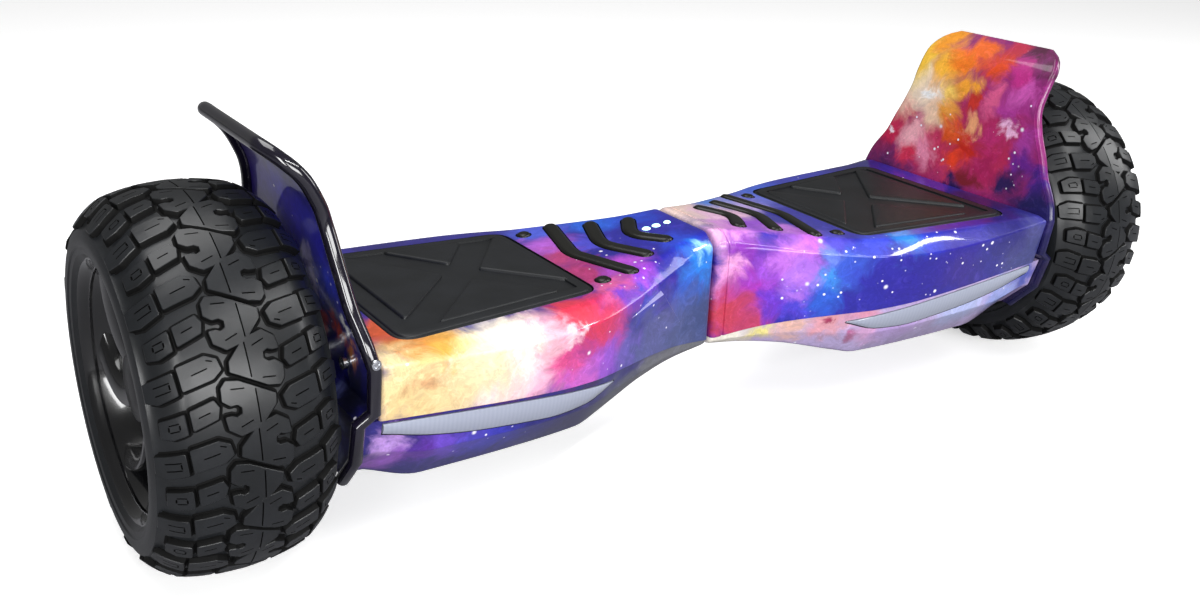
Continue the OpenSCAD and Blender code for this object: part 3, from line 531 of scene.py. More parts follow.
def moulded(name, colour, worn, roughness, grain_mm, depth_mm, rough_span=0.12, **shader):
    """A surface as moulded or machined: soft uneven tone, and a grain of real size that breaks its shine."""
    material, tree, surface, where = new_material(name, **shader)
    tone = add(tree, "TexNoise", Vector=where, Scale=1 / TONE, Detail=4, Roughness=0.6)
    span = add(tree, "MapRange", Value=tone.outputs["Fac"], From_Min=0.35, From_Max=0.65)
    tint = add(tree, "Mix", data_type="RGBA", Factor=span.outputs[0], I6=srgb(colour), I7=srgb(worn))
    tree.links.new(tint.outputs[2], surface.inputs["Base Color"])
    grain = add(tree, "TexNoise", Vector=where, Scale=1 / grain_mm, Detail=3, Roughness=0.65)
    glossy, dull = roughness - rough_span / 2, roughness + rough_span / 2
    gloss = add(tree, "MapRange", Value=grain.outputs["Fac"], To_Min=glossy, To_Max=dull)
    tree.links.new(gloss.outputs[0], surface.inputs["Roughness"])
    bump = add(tree, "Bump", Strength=0.6, Distance=depth_mm * MM, Height=grain.outputs["Fac"])
    tree.links.new(bump.outputs[0], surface.inputs["Normal"])
    return material


# Tyre rubber: carbon black with a dull bloom from the mould, so lit flats look grey
tyre_rubber = moulded("tyre_rubber_moulded", "#141618", "#1d1f22", 0.34, 0.9, 0.05, Specular_IOR_Level=0.5)
# Groove walls, slots and the skirts on the groove floor: near-black painted shade, darker and duller than the
# tread, so that a dark line is drawn round every block
painted_groove_shade = moulded("tyre_groove_walls_painted_shade", "#020202", "#050505", 0.75, 0.9, 0.05, Specular_IOR_Level=0.2)
# Pad rubber: softer compound with a fine spark-eroded grain, which gives a satin charcoal
pad_rubber = moulded("pad_rubber_grained", "#131517", "#1a1c1f", 0.48, 0.5, 0.04, Specular_IOR_Level=0.4)
# Grip rubber: the same, wiped with silicone, so its round tops shine a little and look olive
grip_rubber = moulded("grip_rubber_wiped", "#0b0c07", "#12120c", 0.36, 0.6, 0.03, Specular_IOR_Level=0.45)
# Facet edges: a pale lilac painted highlight on the facet's side walls, standing for the light caught along
# its sharp edges
facet_painted_highlight = moulded("painted_highlight_facet_walls", "#8f8cc4", "#b4b0e0", 0.3, 0.8, 0.02, Coat_Weight=0.8)
# Rim: die-cast aluminium under gloss black powder, with a slight orange peel
rim_black = moulded("rim_gloss_powder", "#070708", "#0d0d10", 0.2, 1.6, 0.03, 0.05,
                    Coat_Weight=1.0, Coat_Roughness=0.06)
# Hub cap: black nylon, satin beside the gloss of the rim
hub_black = moulded("hub_cap_plastic", "#0b0b0d", "#131316", 0.35, 0.7, 0.03)
# Edge bead: gloss black ABS, pressed on, so it shows one long clean highlight
bead_black = moulded("edge_bead_gloss", "#0a0812", "#120e1f", 0.16, 2.0, 0.01, 0.04,
                     Coat_Weight=1.0, Coat_Roughness=0.05)
# Insides of the covers: ABS as moulded, dark and dull, so cut edges and recesses fall back
inner_plastic = moulded("unpainted_abs", "#131318", "#1b1b21", 0.5, 0.8, 0.03)
# Frames and clamps: cast aluminium, shot-blasted to an even pale grey
cast_aluminium = moulded("cast_aluminium_shot", "#a9abae", "#bcbec0", 0.42, 0.8, 0.05, Metallic=1.0)
# Axles, cores and pivot: ground steel, with a tighter, darker shine
turned_steel = moulded("axle_steel_ground", "#9a9c9f", "#adaeb1", 0.28, 0.3, 0.01, Metallic=1.0)
# Inner screws: black oxide, nearly matt with a brown-black glint
black_steel = moulded("screw_steel_black_oxide", "#1c1c1f", "#29292d", 0.38, 0.4, 0.02, Metallic=0.9)
# Outer screws, bearings and inlet: zinc plate, the brightest metal on the board
bright_steel = moulded("screw_steel_zinc", "#c9ccd2", "#dcdfe3", 0.25, 0.3, 0.01, Metallic=1.0)
# Windings: enamelled copper, orange-brown under clear varnish
copper = moulded("winding_copper_enamel", "#9c4a22", "#b8622f", 0.3, 0.8, 0.1, Metallic=0.8)
# Bushes: sintered bronze, dull gold with open pores
bronze = moulded("bush_bronze_sintered", "#9a7434", "#b08a46", 0.45, 0.3, 0.04, Metallic=1.0)
# Boards: glass laminate under green solder mask
board_green = moulded("board_solder_mask", "#0e4a2a", "#126034", 0.35, 3.0, 0.02)
# Battery: blue PVC shrunk over the cells, smooth and slightly shiny
wrap_blue = moulded("battery_heat_shrink", "#1d4f9c", "#2861b4", 0.3, 6.0, 0.1)
# Motor cables: a soft PVC jacket
cable_black = moulded("cable_jacket_pvc", "#0e0e10", "#18181b", 0.45, 0.8, 0.03)
# Pressure plates and stops: glass-filled nylon, whose fibres dull it
nylon = moulded("pedal_nylon_glass", "#1b1c1e", "#26282b", 0.55, 0.7, 0.05)
# Charging pins: a gold flash over brass
gold = moulded("pin_gold_flash", "#c79a3a", "#dcb35a", 0.25, 0.3, 0.01, Metallic=1.0)
# Switch body: black polyamide with a fine grain
switch_black = moulded("switch_plastic_black", "#0d0d0f", "#161619", 0.4, 0.6, 0.02)


def lens_plastic():
    """Frosted acrylic over a white lamp strip: pale blue-grey, slightly see-through, with faint flutes."""
    material, tree, surface, where = new_material(
        "light_lens_frosted",
        Transmission_Weight=0.25, IOR=1.49, Coat_Weight=1.0, Coat_Roughness=0.08, Roughness=0.35,
    )
    flutes = add(tree, "TexWave", Vector=where, Scale=1 / 9, Distortion=0.6, Detail=2)
    tint = add(tree, "ValToRGB", Fac=flutes.outputs["Fac"])
    tint.color_ramp.elements[0].color, tint.color_ramp.elements[1].color = srgb("#b0b7cb"), srgb("#b7bdd0")
    tree.links.new(tint.outputs[0], surface.inputs["Base Color"])
    waves = add(tree, "Bump", Strength=0.012, Distance=0.0002, Height=flutes.outputs["Fac"])
    tree.links.new(waves.outputs[0], surface.inputs["Normal"])
    return material


def lamp_lens():
    """Clear pip over a lit cyan-white lamp: an even glow, mottled from green-blue to white."""
    material, tree, surface, where = new_material(
        "lamp_pip_lit", Roughness=0.15, Coat_Weight=1.0, Emission_Strength=2.2
    )
    grain = add(tree, "TexNoise", Vector=where, Scale=1 / 2.5, Detail=3)
    glow = add(tree, "ValToRGB", Fac=grain.outputs["Fac"])
    glow.color_ramp.elements[0].color, glow.color_ramp.elements[1].color = srgb("#7ff0e6"), srgb("#f2ffff")
    tree.links.new(glow.outputs[0], surface.inputs["Base Color"])
    tree.links.new(glow.outputs[0], surface.inputs["Emission Color"])
    return material


light_lens = lens_plastic()
lamp_pip = lamp_lens()

# The prints: a violet night on the left cover with a rose and cream dawn at its outer corner, lilac and
# blue on the right one, and flame colours on the right fender
left_top_print = sky_print("left_top_lacquer_print", "#241d8c", [
    (-200, 88, 137, 60, "#231a78"), (-240, 80, 137, 40, "#32249a"), (-110, 75, 137, 40, "#2a2488"),
    (-20, 0, 148, 60, "#221f9c"), (-26, 30, 146, 26, "#1b3fc0"), (-51, 40, 143, 26, "#1e5fd8"),
    (-85, 52, 139, 26, "#4a5cd6"), (-94, 20, 138, 22, "#b45cd0"), (-97, -2, 137, 22, "#b83a78"),
    (-99, -33, 137, 22, "#b02f70"), (-74, 6, 140, 18, "#4a48cc"), (-69, -43, 141, 22, "#c04fd8"),
    (-66, -55, 136, 16, "#b04ae0"), (-96, -62, 136, 20, "#e0609c"), (-48, -50, 135, 24, "#201f9e"),
    # the small cyan-white cloud on the crease by the seam, at x -9, is print with a painted highlight of the
    # crease laid into it
    (-24, -30, 146, 20, "#2440c8"), (-15, -41, 128, 22, "#1d7fe0"), (-9, -38, 141, 9, "#8fccff"),
    (-28, -44, 110, 24, "#2a5cc8"), (-71, -62, 124, 16, "#3a3cc0"), (-90, -66, 130, 14, "#7038b8"),
    (-60, -55, 92, 40, "#565a94"), (-24, -41, 84, 34, "#4c5585"), (-8, -38, 98, 26, "#3c4a7c"),
    (-94, -68, 96, 16, "#6a58b4"), (-106, -76, 116, 20, "#b83c8c"), (-117, -78, 112, 20, "#c23a86"),
    (-114, -75, 92, 20, "#9450cc"), (-135, -79, 90, 22, "#c95fc4"), (-117, -77, 131, 20, "#cf3060"),
    (-136, -78, 134, 22, "#d8344e"), (-148, -85, 112, 22, "#dc4a8c"), (-166, -88, 98, 20, "#eda6c6"),
    # the small pink-white cloud on the crease at x -141 is print with a painted highlight of the crease laid
    # into it
    (-170, -88, 116, 24, "#f8dce2"), (-160, -86, 130, 20, "#eeb4c4"), (-141, -87, 126, 9, "#fbd3de"),
    (-193, -88, 118, 30, "#fdf2e0"), (-191, -86, 97, 20, "#f4cfcf"), (-183, -84, 135, 22, "#fbeedd"),
    (-214, -90, 128, 26, "#fdeec4"), (-206, -92, 112, 26, "#fae3b4"), (-222, -82, 137, 20, "#efb050"),
    (-225, -89, 106, 24, "#f3d4a0"), (-240, -78, 137, 20, "#e38f38"), (-236, -92, 133, 12, "#e9a94e"),
    (-248, -52, 137, 24, "#d8592f"), (-250, -92, 124, 24, "#fbe0a6"), (-244, -90, 104, 22, "#efcf94"),
    (-238, -90, 116, 9, "#d9a878"),
], [(-70, -48, 136, 34), (-108, -74, 100, 24)])
right_top_print = sky_print("right_top_lacquer_print", "#2b27a0", [
    (20, 20, 149, 44, "#f6d9cc"), (1, -38, 90, 7, "#e2b244"), (36, 4, 146, 30, "#f0c0e2"),
    (74, 30, 140, 26, "#c9b0ee"), (50, 50, 142, 30, "#4a80e0"), (105, 42, 137, 26, "#6a70d8"),
    (110, 76, 136, 40, "#3c62d8"), (170, 90, 136, 50, "#3036b0"), (230, 88, 136, 40, "#231c78"),
    (7, -31, 147, 20, "#f0b4de"), (24, -24, 146, 20, "#d98ae0"), (46, -18, 146, 20, "#9446d0"),
    (60, -34, 142, 18, "#c67ae4"), (18, -41, 134, 18, "#8a30b0"), (42, -46, 132, 14, "#5c2aa8"),
    (13, -39, 121, 15, "#f2a8dc"), (4, -37, 110, 18, "#d884c4"), (30, -44, 110, 20, "#a52fb5"),
    (15, -39, 100, 18, "#b03c90"), (7, -38, 90, 20, "#c23a52"), (28, -42, 84, 20, "#b83a62"),
    (45, -49, 96, 16, "#6a30c0"), (60, -53, 92, 16, "#4a3cc8"), (42, -49, 122, 18, "#9a4ad0"),
    (52, -53, 130, 16, "#c070e0"), (70, -53, 139, 18, "#c46ae0"), (62, -57, 114, 18, "#b474ea"),
    (78, -62, 108, 15, "#3f90ea"), (74, -61, 94, 16, "#2c5cd0"), (94, -71, 118, 18, "#3a5cd4"),
    (80, -65, 129, 12, "#6a84ea"), (90, -56, 139, 16, "#5048cc"), (109, -78, 112, 20, "#2a26a0"),
    (136, -76, 136, 18, "#2a84e4"), (112, -70, 136, 14, "#3a48d0"), (156, -85, 131, 20, "#2838c0"),
    (140, -81, 106, 30, "#2a2098"), (172, -88, 112, 30, "#2b1f92"), (192, -87, 104, 26, "#38298c"),
    (216, -89, 116, 30, "#33308c"), (246, -91, 118, 30, "#4a4b88"), (255, -88, 104, 22, "#3e4280"),
    (228, -80, 137, 30, "#241f74"), (250, -40, 137, 40, "#1a1556"),
], [(70, -58, 112, 30), (120, -76, 108, 44), (156, -82, 118, 44), (205, -88, 112, 26), (100, -70, 136, 30)])
left_bottom_print = sky_print("left_bottom_lacquer_print", "#2a2478", [
    (-10, -35, 74, 40, "#75777c"), (-50, -42, 66, 36, "#77787e"), (-90, -56, 60, 26, "#5c5e70"),
    (-120, 0, 44, 80, "#55585f"), (-120, -60, 56, 22, "#33335c"), (-140, -66, 60, 24, "#23215e"),
    (-165, -76, 64, 24, "#26257a"), (-190, -80, 68, 24, "#3434b0"), (-206, -80, 68, 18, "#4a40b8"),
    (-222, -80, 72, 18, "#6a46c4"), (-238, -80, 68, 18, "#5a2a9c"), (-256, -82, 84, 14, "#b890d8"),
    # the row of small dark purple clouds from x -250 to -118, just under the parting line, is painted shadow
    # of the top cover's edge
    (-256, -74, 66, 18, "#9658c4"), (-250, -87, 101, 9, "#43236f"), (-228, -87, 99, 9, "#43236f"),
    (-206, -86, 97, 9, "#4a2778"), (-184, -86, 94, 9, "#43236f"), (-162, -84, 91, 9, "#4a2778"),
    (-140, -81, 88, 9, "#43236f"), (-118, -76, 85, 9, "#37255f"),
], [(-200, -80, 70, 22), (-180, -78, 62, 16)])
right_bottom_print = sky_print("right_bottom_lacquer_print", "#c6b2e0", [
    (12, -37, 72, 24, "#f6efe0"), (2, -36, 90, 6, "#e0b040"), (38, -45, 73, 16, "#f3e68e"),
    (60, -51, 73, 18, "#f0bfae"), (84, -60, 77, 18, "#eaa4ac"), (106, -70, 86, 16, "#e89ab4"),
    (84, -60, 77, 5, "#a82450"), (104, -64, 64, 8, "#b02e62"), (92, -60, 62, 6, "#b83a66"),
    (118, -70, 66, 16, "#e6a8d4"), (140, -74, 60, 24, "#c9a6e6"), (150, -82, 92, 12, "#c8a0e0"),
    (200, -80, 70, 24, "#b9c2f0"), (236, -84, 76, 20, "#9aa6e6"), (232, -84, 92, 12, "#a8b0ea"),
    (254, -86, 90, 16, "#525cb8"), (150, 0, 44, 90, "#a79ac4"),
], [(230, -84, 76, 20)])
right_fender_print = sky_print("right_fender_lacquer_print", "#8a2470", [
    (264, -84, 110, 50, "#15124a"), (262, -70, 70, 50, "#100e3c"), (262, 70, 100, 60, "#15124a"),
    (292, -56, 236, 16, "#4c1838"), (270, -30, 170, 40, "#b82858"), (270, 20, 170, 50, "#c03058"),
    (266, 80, 154, 20, "#7c1a50"), (268, 74, 168, 18, "#c81e4c"), (268, 75, 168, 5, "#fdeaf6"),
    (270, 66, 180, 14, "#c83058"), (271, 62, 193, 16, "#f2b8a8"), (274, 58, 214, 20, "#f6dc98"),
    (283, 58, 232, 20, "#f0c040"), (293, 42, 243, 20, "#ee9820"), (272, 42, 200, 24, "#f8e2cc"),
    (272, 41, 203, 8, "#ffffff"), (270, 30, 187, 18, "#f8d2b4"), (267, 48, 164, 18, "#f2aeba"),
    (266, 33, 153, 14, "#ea8cac"), (265, 50, 149, 12, "#d02c50"), (279, 30, 223, 18, "#f6b63a"),
    (272, 20, 203, 12, "#fbd268"), (283, 18, 231, 16, "#ec8020"), (289, 8, 238, 16, "#e8661c"),
    (273, 7, 211, 12, "#f2a232"), (272, -2, 201, 10, "#c83228"), (290, -16, 240, 16, "#c43420"),
    (281, -10, 227, 16, "#da481c"), (298, -21, 247, 12, "#b82a48"), (298, -40, 246, 16, "#541a3c"),
    (283, -36, 230, 16, "#bc2c84"), (288, -48, 236, 12, "#7c1e62"), (271, 16, 190, 14, "#f6a544"),
    (269, 6, 177, 14, "#e4561a"), (270, -9, 186, 10, "#f2a878"), (268, -4, 168, 14, "#c6281c"),
    (266, 3, 154, 12, "#e43e20"), (264, -12, 145, 12, "#7a1828"), (266, -24, 158, 14, "#a81c58"),
    (269, -28, 180, 14, "#bc2a70"), (272, -22, 206, 14, "#dc5c8e"), (270, -39, 189, 7, "#fbc4ea"),
    (272, -42, 204, 14, "#b03898"), (277, -46, 219, 14, "#c452aa"), (270, -56, 182, 14, "#a83a9c"),
    (267, -57, 165, 14, "#6a2490"), (265, -46, 149, 16, "#2a1454"), (266, -76, 158, 14, "#4a2088"),
    (264, -84, 140, 26, "#1c1656"), (264, 0, 136, 10, "#2a1450"),
], [(268, 20, 160, 30), (268, -40, 160, 26)])
left_fender_print = sky_print("left_fender_lacquer_print", "#201c7c", [
    (-278, 40, 226, 50, "#2a1c5c"), (-272, 30, 200, 34, "#3c2a9a"), (-290, -20, 240, 24, "#0c0a20"),
    (-270, 0, 190, 30, "#3a2cc8"), (-270, -34, 190, 26, "#2622b4"), (-268, -44, 166, 20, "#3444e0"),
    (-268, -20, 172, 10, "#a89ee6"), (-268, -26, 162, 8, "#b4aaec"), (-267, -10, 152, 18, "#2228a8"),
    (-266, -57, 147, 6, "#ffffff"), (-265, -24, 140, 10, "#c02838"), (-265, -44, 136, 10, "#e2452a"),
    (-265, -62, 132, 10, "#f08e3c"), (-266, -70, 108, 24, "#0d0e2a"), (-268, -50, 96, 14, "#5c669e"),
    (-268, -52, 74, 14, "#8088bc"), (-266, -80, 90, 16, "#10122e"), (-264, 0, 110, 40, "#10123a"),
    (-264, 50, 130, 40, "#1a1860"),
], [(-268, -50, 160, 24)])


# ---------------------------------------------------------------- body covers
def share(x):
    """How far along the half x is: 0 at the seam, 1 at the body's end."""
    return (x - SEAM) / (BODY_END - SEAM)


# The cover's lines, each against the share of the way from the seam (0) to the body's end (1)
RAMP_SHARE = share(RAMP_END)
swell = curve((0, 0), (0.1, 0.12), (0.22, 0.35), (0.34, 0.6), (0.45, 0.8), (0.57, 0.91), (0.75, 0.97), (1, 1))
shoulder_in = curve((0, 9), (0.34, 11), (0.57, 12), (0.86, 11), (1, 8))
part_in = curve((0, 0.5), (0.45, 6), (1, 6))
part_drop = curve((0, -34), (0.22, -26), (0.45, -21), (1, -7))
chine_in = curve((0, 1), (0.45, 6), (1, 6))
floor_in = curve((0, 5), (RAMP_SHARE, 18), (0.57, 24), (1, 28))
floor_height = curve((0, AXLE_Z - 40), (0.22, AXLE_Z - 48), (RAMP_SHARE, FLOOR_Z + 3.5), (0.45, FLOOR_Z),
                     (0.86, FLOOR_Z), (1, FLOOR_Z + 12))


def crease(x):
    """The sharp line along the cover's side, as (half depth, height)."""
    t = share(x)
    return Vector((mix(WAIST_HALF, DECK_HALF, swell(t)),
                   mix(CROWN_Z - 8, DECK_Z - 2, t) - 11 * math.sin(math.pi * min(1, max(0, t)))))


def top_edge(x):
    """Where the side's shoulder meets the crown's slope and then the flat deck."""
    ramp = mix(CROWN_Z, DECK_Z, (x - SEAM) / (RAMP_END - SEAM))
    blend = 4.0
    rise = 0.5 * (ramp - DECK_Z + math.sqrt((ramp - DECK_Z) ** 2 + 0.3 * blend))
    return Vector((crease(x).x - shoulder_in(share(x)), DECK_Z + min(rise, CROWN_Z - DECK_Z)))


def parting(x):
    """Where the top cover meets the bottom one."""
    return Vector((crease(x).x - part_in(share(x)), AXLE_Z + part_drop(share(x))))


def floor_edge(x):
    """Where the bottom cover's side meets its floor."""
    return Vector((parting(x).x - floor_in(share(x)), floor_height(share(x))))


def chine(x):
    """The soft corner half way up the bottom cover's side."""
    return Vector((parting(x).x - chine_in(share(x)), (parting(x).y + floor_edge(x).y) / 2))


BEVEL_TURNS = (0, 0.4, 0.8, 1.2)  # radians round an end's bevel


def stations(x0, x1, step, bevel0, bevel1):
    """Places along the half with the amount each end's bevel takes off there."""
    count = round((x1 - x0) / step)
    inner = [x0 + bevel0 + (x1 - bevel1 - x0 - bevel0) * k / count for k in range(count + 1)]
    start = [(x0 + bevel0 * (1 - math.cos(a)), bevel0 * (1 - math.sin(a))) for a in BEVEL_TURNS]
    end = [(x1 - bevel1 * (1 - math.cos(a)), bevel1 * (1 - math.sin(a))) for a in BEVEL_TURNS[::-1]]
    return start + [(x, 0) for x in inner] + end


def ring_of(x, half):
    """A closed ring at x from one side's line between the bottom's middle and the top's."""
    right = [Vector((x, p.x, p.y)) for p in half]
    return right + [Vector((x, -p.y, p.z)) for p in right[::-1] if p.y > 0.01]


def top_ring(x, off=0.0):
    """The top cover's outline at x, drawn in by off, with a rounded crease and shoulder."""
    soft = mix(8, 2.2, min(1, share(x) / 0.3))
    low, mid, top = parting(x), crease(x), top_edge(x)
    inward = Vector((-off, 0))
    line = [low + inward - Vector((1.0, 0)), low + inward, mid + inward - Vector((0, off / 2)),
            top + Vector((-off / 2, -off)), Vector((0, top.y - off))]
    side = fillet(line, [0.8, soft, 9], steps=6)
    below, above = side[7], side[8]
    side = side[:8] + [below.lerp(above, k / 4) for k in (1, 2, 3)] + side[8:]
    return ring_of(x, side[:-1] + [side[-2].lerp(side[-1], k / 4) for k in (1, 2, 3)])


def low_ring(x, off=0.0):
    """The bottom cover's outline at x, drawn in by off."""
    low, mid, top = floor_edge(x), chine(x), parting(x)
    inward = Vector((-off - TUB_IN, 0))
    line = [Vector((0, low.y + off)), low + inward + Vector((0, off)), mid + inward, top + inward]
    soft = fillet(line, [7, 5], steps=6)
    return ring_of(x, [soft[0].lerp(soft[1], k / 4) for k in range(4)] + soft[1:])


def inner_ring(x, top):
    """The hollow inside a cover: its wall in from its outside, and running past the parting line."""
    t = SHELL_T
    if top:
        a, b, c = parting(x), crease(x), top_edge(x)
        half = [(a.x - t, a.y - 3), (b.x - t - 1, b.y - 1.5), (c.x - t / 2 - 1, c.y - t), (0, c.y - t)]
    else:
        a, b, c = floor_edge(x), chine(x), parting(x)
        half = [(0, a.y + t), (a.x - t, a.y + t), (b.x - t - TUB_IN, b.y + 1), (c.x - t - TUB_IN, c.y + 3)]
    return ring_of(x, [Vector(p) for p in half])


def hollow(top, steps=24):
    """The space inside the top or the bottom cover, from wall to wall along the half."""
    length = BODY_END - SEAM - 2 * SHELL_T
    return lofted([inner_ring(SEAM + SHELL_T + length * k / steps, top) for k in range(steps + 1)])


def pad_outline(grow):
    """The foot pad's outline, wider toward the wheel, moved out by grow."""
    def half(x):
        return mix(PAD_HALF_IN, PAD_HALF_OUT, (x - PAD_IN) / (PAD_OUT - PAD_IN)) + grow

    a, b = PAD_IN - grow, PAD_OUT + grow
    corners = [(a, half(a)), (b, half(b)), (b, -half(b)), (a, -half(a))]
    return fillet(corners, PAD_CORNER + grow, closed=True, steps=8)


BAR_W, BAR_SWEEP, DOT_D = 10, 12, 10
GRIP_SLIP = 0.6  # gap round a grip in its recess
RAMP_L = (RAMP_END - SEAM) / math.cos(RAMP_ANGLE)
# Each bar's tip down the slope from the seam, and its half length; then the studs' places
BARS = [(0.86 * RAMP_L, 0.47 * RAMP_L), (0.64 * RAMP_L, 0.32 * RAMP_L), (0.41 * RAMP_L, 0.21 * RAMP_L)]
DOTS = [(RAMP_L - 5.5, 48), (RAMP_L - 5.5, -48)]
LAMPS, LAMP_Y = [(11, 5), (20, 6), (28, 6)], 2  # (down the slope, diameter) of each lamp, and their line


def bar_line(tip, half):
    """A grip bar's centre line: a shallow V with a rounded point."""
    return fillet([(tip - BAR_SWEEP, half), (tip + 1, 0), (tip - BAR_SWEEP, -half)], 30, steps=8)


def on_ramp(shape):
    """Lays a shape drawn flat on the sloping crown."""
    c, s = math.cos(RAMP_ANGLE), math.sin(RAMP_ANGLE)
    points, faces = shape
    return [Vector((SEAM + p[0] * c + p[2] * s, p[1], CROWN_Z - p[0] * s + p[2] * c)) for p in points], faces


PIVOT_HOLE, AXLE_HOLE = 26.2, 23
TRAY_TOP, TRAY_LOW = PAD_BOT - 3 - 4.2, PAD_BOT - 3 - 6.7  # the tray's floor, below the pad and its plate
TRAY_WALL, PAD_SLIP = 3.1, 0.6  # how far the tray and its opening reach past the pad
LEG_X, LEG_Y = (PAD_IN + 30, frame_high.x - 4 - 46 - 18), (-30, 30)  # where the pressure plate's legs pass
RECESS, ABOVE = -1.7, 9  # a grip's recess, measured down and up from the crown's slope
SEAM_GROOVE = [(8.2, 0), (8.6, 0.9), (9.8, 0.9), (10.2, 0)]  # place and depth, round the right cover


def top_shell(side):
    """A top cover: its hollow, the tray for the pad, the grips' recesses and the pivot's and axle's holes."""
    flip = side == LEFT
    places = stations(SEAM, BODY_END, 4, 3.0, 1.5)
    if side == RIGHT:
        places = sorted([p for p in places if not 8 < p[0] < 12] + SEAM_GROOVE)
    lacquer = left_top_print if side == LEFT else right_top_print
    rings = lofted([top_ring(x, off) for x, off in places])
    shell = half_object(side, "top_shell", rings, [lacquer, inner_plastic])
    carve(shell, hollow(True), flip=flip)
    carve(shell, prism(pad_outline(TRAY_WALL), TRAY_LOW, DECK_Z - 1.5), "UNION", flip)
    carve(shell, prism(pad_outline(PAD_SLIP), TRAY_TOP, CROWN_Z + 5), flip=flip)
    for tip, half in BARS:
        bar = stroke(bar_line(tip, half), BAR_W + 2 * GRIP_SLIP)
        carve(shell, on_ramp(prism(bar, RECESS, ABOVE)), flip=flip)
    for x, y in DOTS:
        carve(shell, on_ramp(prism(circle(x, y, DOT_D + 0.8), RECESS, ABOVE)), flip=flip)
    carve(shell, disc_x(SEAM - 1, SEAM + SHELL_T + 1, PIVOT_HOLE), flip=flip)
    carve(shell, disc_x(BODY_END - SHELL_T - 1, BODY_END + 1, AXLE_HOLE), flip=flip)
    for x in LEG_X:
        for y in LEG_Y:
            slot = [(x - 2.2, y - 5.2), (x + 2.2, y - 5.2), (x + 2.2, y + 5.2), (x - 2.2, y + 5.2)]
            carve(shell, prism(slot, TRAY_LOW - 1, TRAY_TOP + 1), flip=flip)
    if side == LEFT:
        for x, d in LAMPS:
            carve(shell, on_ramp(prism(circle(x, LAMP_Y, d + 0.4), -8, 4)), flip=flip)
    shade(shell, 28)
    place(shell, f"{SIDES[side]}_half", f"{SIDES[side]}_top_lacquer", f"{SIDES[side]}_top_cover")


lamp_height = curve((0, 1), (0.15, 12), (0.35, 16), (0.6, 15.5), (0.8, 13), (1, 7))


def light_line(t):
    """Top edge, height and place along the half of the front light at t."""
    x = mix(light_low.x, light_high.x, t)
    top = parting(x).y - 2.5 - 5 * (1 - t) ** 4
    height = lamp_height(t)
    return x, top, height


def panel_y(x, z):
    """How far out the bottom cover's side is, above its soft corner."""
    a, b = chine(x), parting(x)
    return mix(a.x, b.x, (z - a.y) / (b.y - a.y)) - TUB_IN


def light_strip(grow, front, back, bulge=0.0, steps=28):
    """The leaf-shaped front light, grown all round, from `front` ahead of the panel to `back` behind it."""
    rings = []
    for k in range(steps + 1):
        x, top, height = light_line(k / steps)
        top, bottom = top + grow, top - height - grow
        x = x + grow * (2 * k / steps - 1)
        edge = (top - bottom) * 0.15
        outer = [(bottom, 0), (bottom + edge, 0.75), (mix(bottom, top, 0.5), 1), (top - edge, 0.75), (top, 0)]
        ring = [Vector((x, -panel_y(x, z) - front - bulge * b * min(1, height / 6), z)) for z, b in outer]
        ring += [Vector((x, -panel_y(x, z) + back, z)) for z, _ in outer[::-1]]
        rings.append(ring)
    return lofted(rings)


def bottom_shell(side):
    """A bottom cover: its hollow, the light's opening, the screws' wells and the holes at the back."""
    flip = side == LEFT
    lacquer = left_bottom_print if side == LEFT else right_bottom_print
    rings = lofted([low_ring(x, off) for x, off in stations(SEAM, LOW_END, 4, 2.5, 1.5)])
    shell = half_object(side, "bottom_shell", rings, [lacquer, inner_plastic])
    carve(shell, hollow(False), flip=flip)
    carve(shell, light_strip(0.3, 6, 12), flip=flip)
    carve(shell, disc_x(BODY_END - SHELL_T - 1, LOW_END + 1, AXLE_HOLE), flip=flip)
    carve(shell, disc_x(SEAM - 1, SEAM + SHELL_T + 1, PIVOT_HOLE), flip=flip)
    for x in (PAD_IN - 12, frame_high.x - 9):
        for y in (-36, 36):
            carve(shell, prism(circle(x, y, SCREW_WELL), 0, floor_height(share(x)) + SCREW_WELL), flip=flip)
    if side == RIGHT:
        for node in ("charge_socket", "power_switch"):
            low, high = box_mm(node)
            middle = (low + high) / 2
            ring = circle(middle.x, middle.z, high.x - low.x + 0.6)
            carve(shell, lofted([[Vector((p.x, y, p.y)) for p in ring] for y in (low.y - 1, DECK_HALF + 10)]))
    shade(shell, 28)
    place(shell, f"{SIDES[side]}_half", f"{SIDES[side]}_bottom_lacquer", f"{SIDES[side]}_bottom_cover")


def front_light(side):
    """The lens, a little smaller than its opening and bulging out of it."""
    lens = half_object(side, "light_lens", light_strip(-0.3, 0.2, 3, 1.1), [light_lens])
    place(lens, f"{SIDES[side]}_half", "light_lens", f"{SIDES[side]}_front_light")


def side_y(x, z):
    """How far out the top cover's side is at a height between its parting line and its crease."""
    low, high = parting(x), crease(x)
    return mix(low.x, high.x, (z - low.y) / (high.y - low.y))


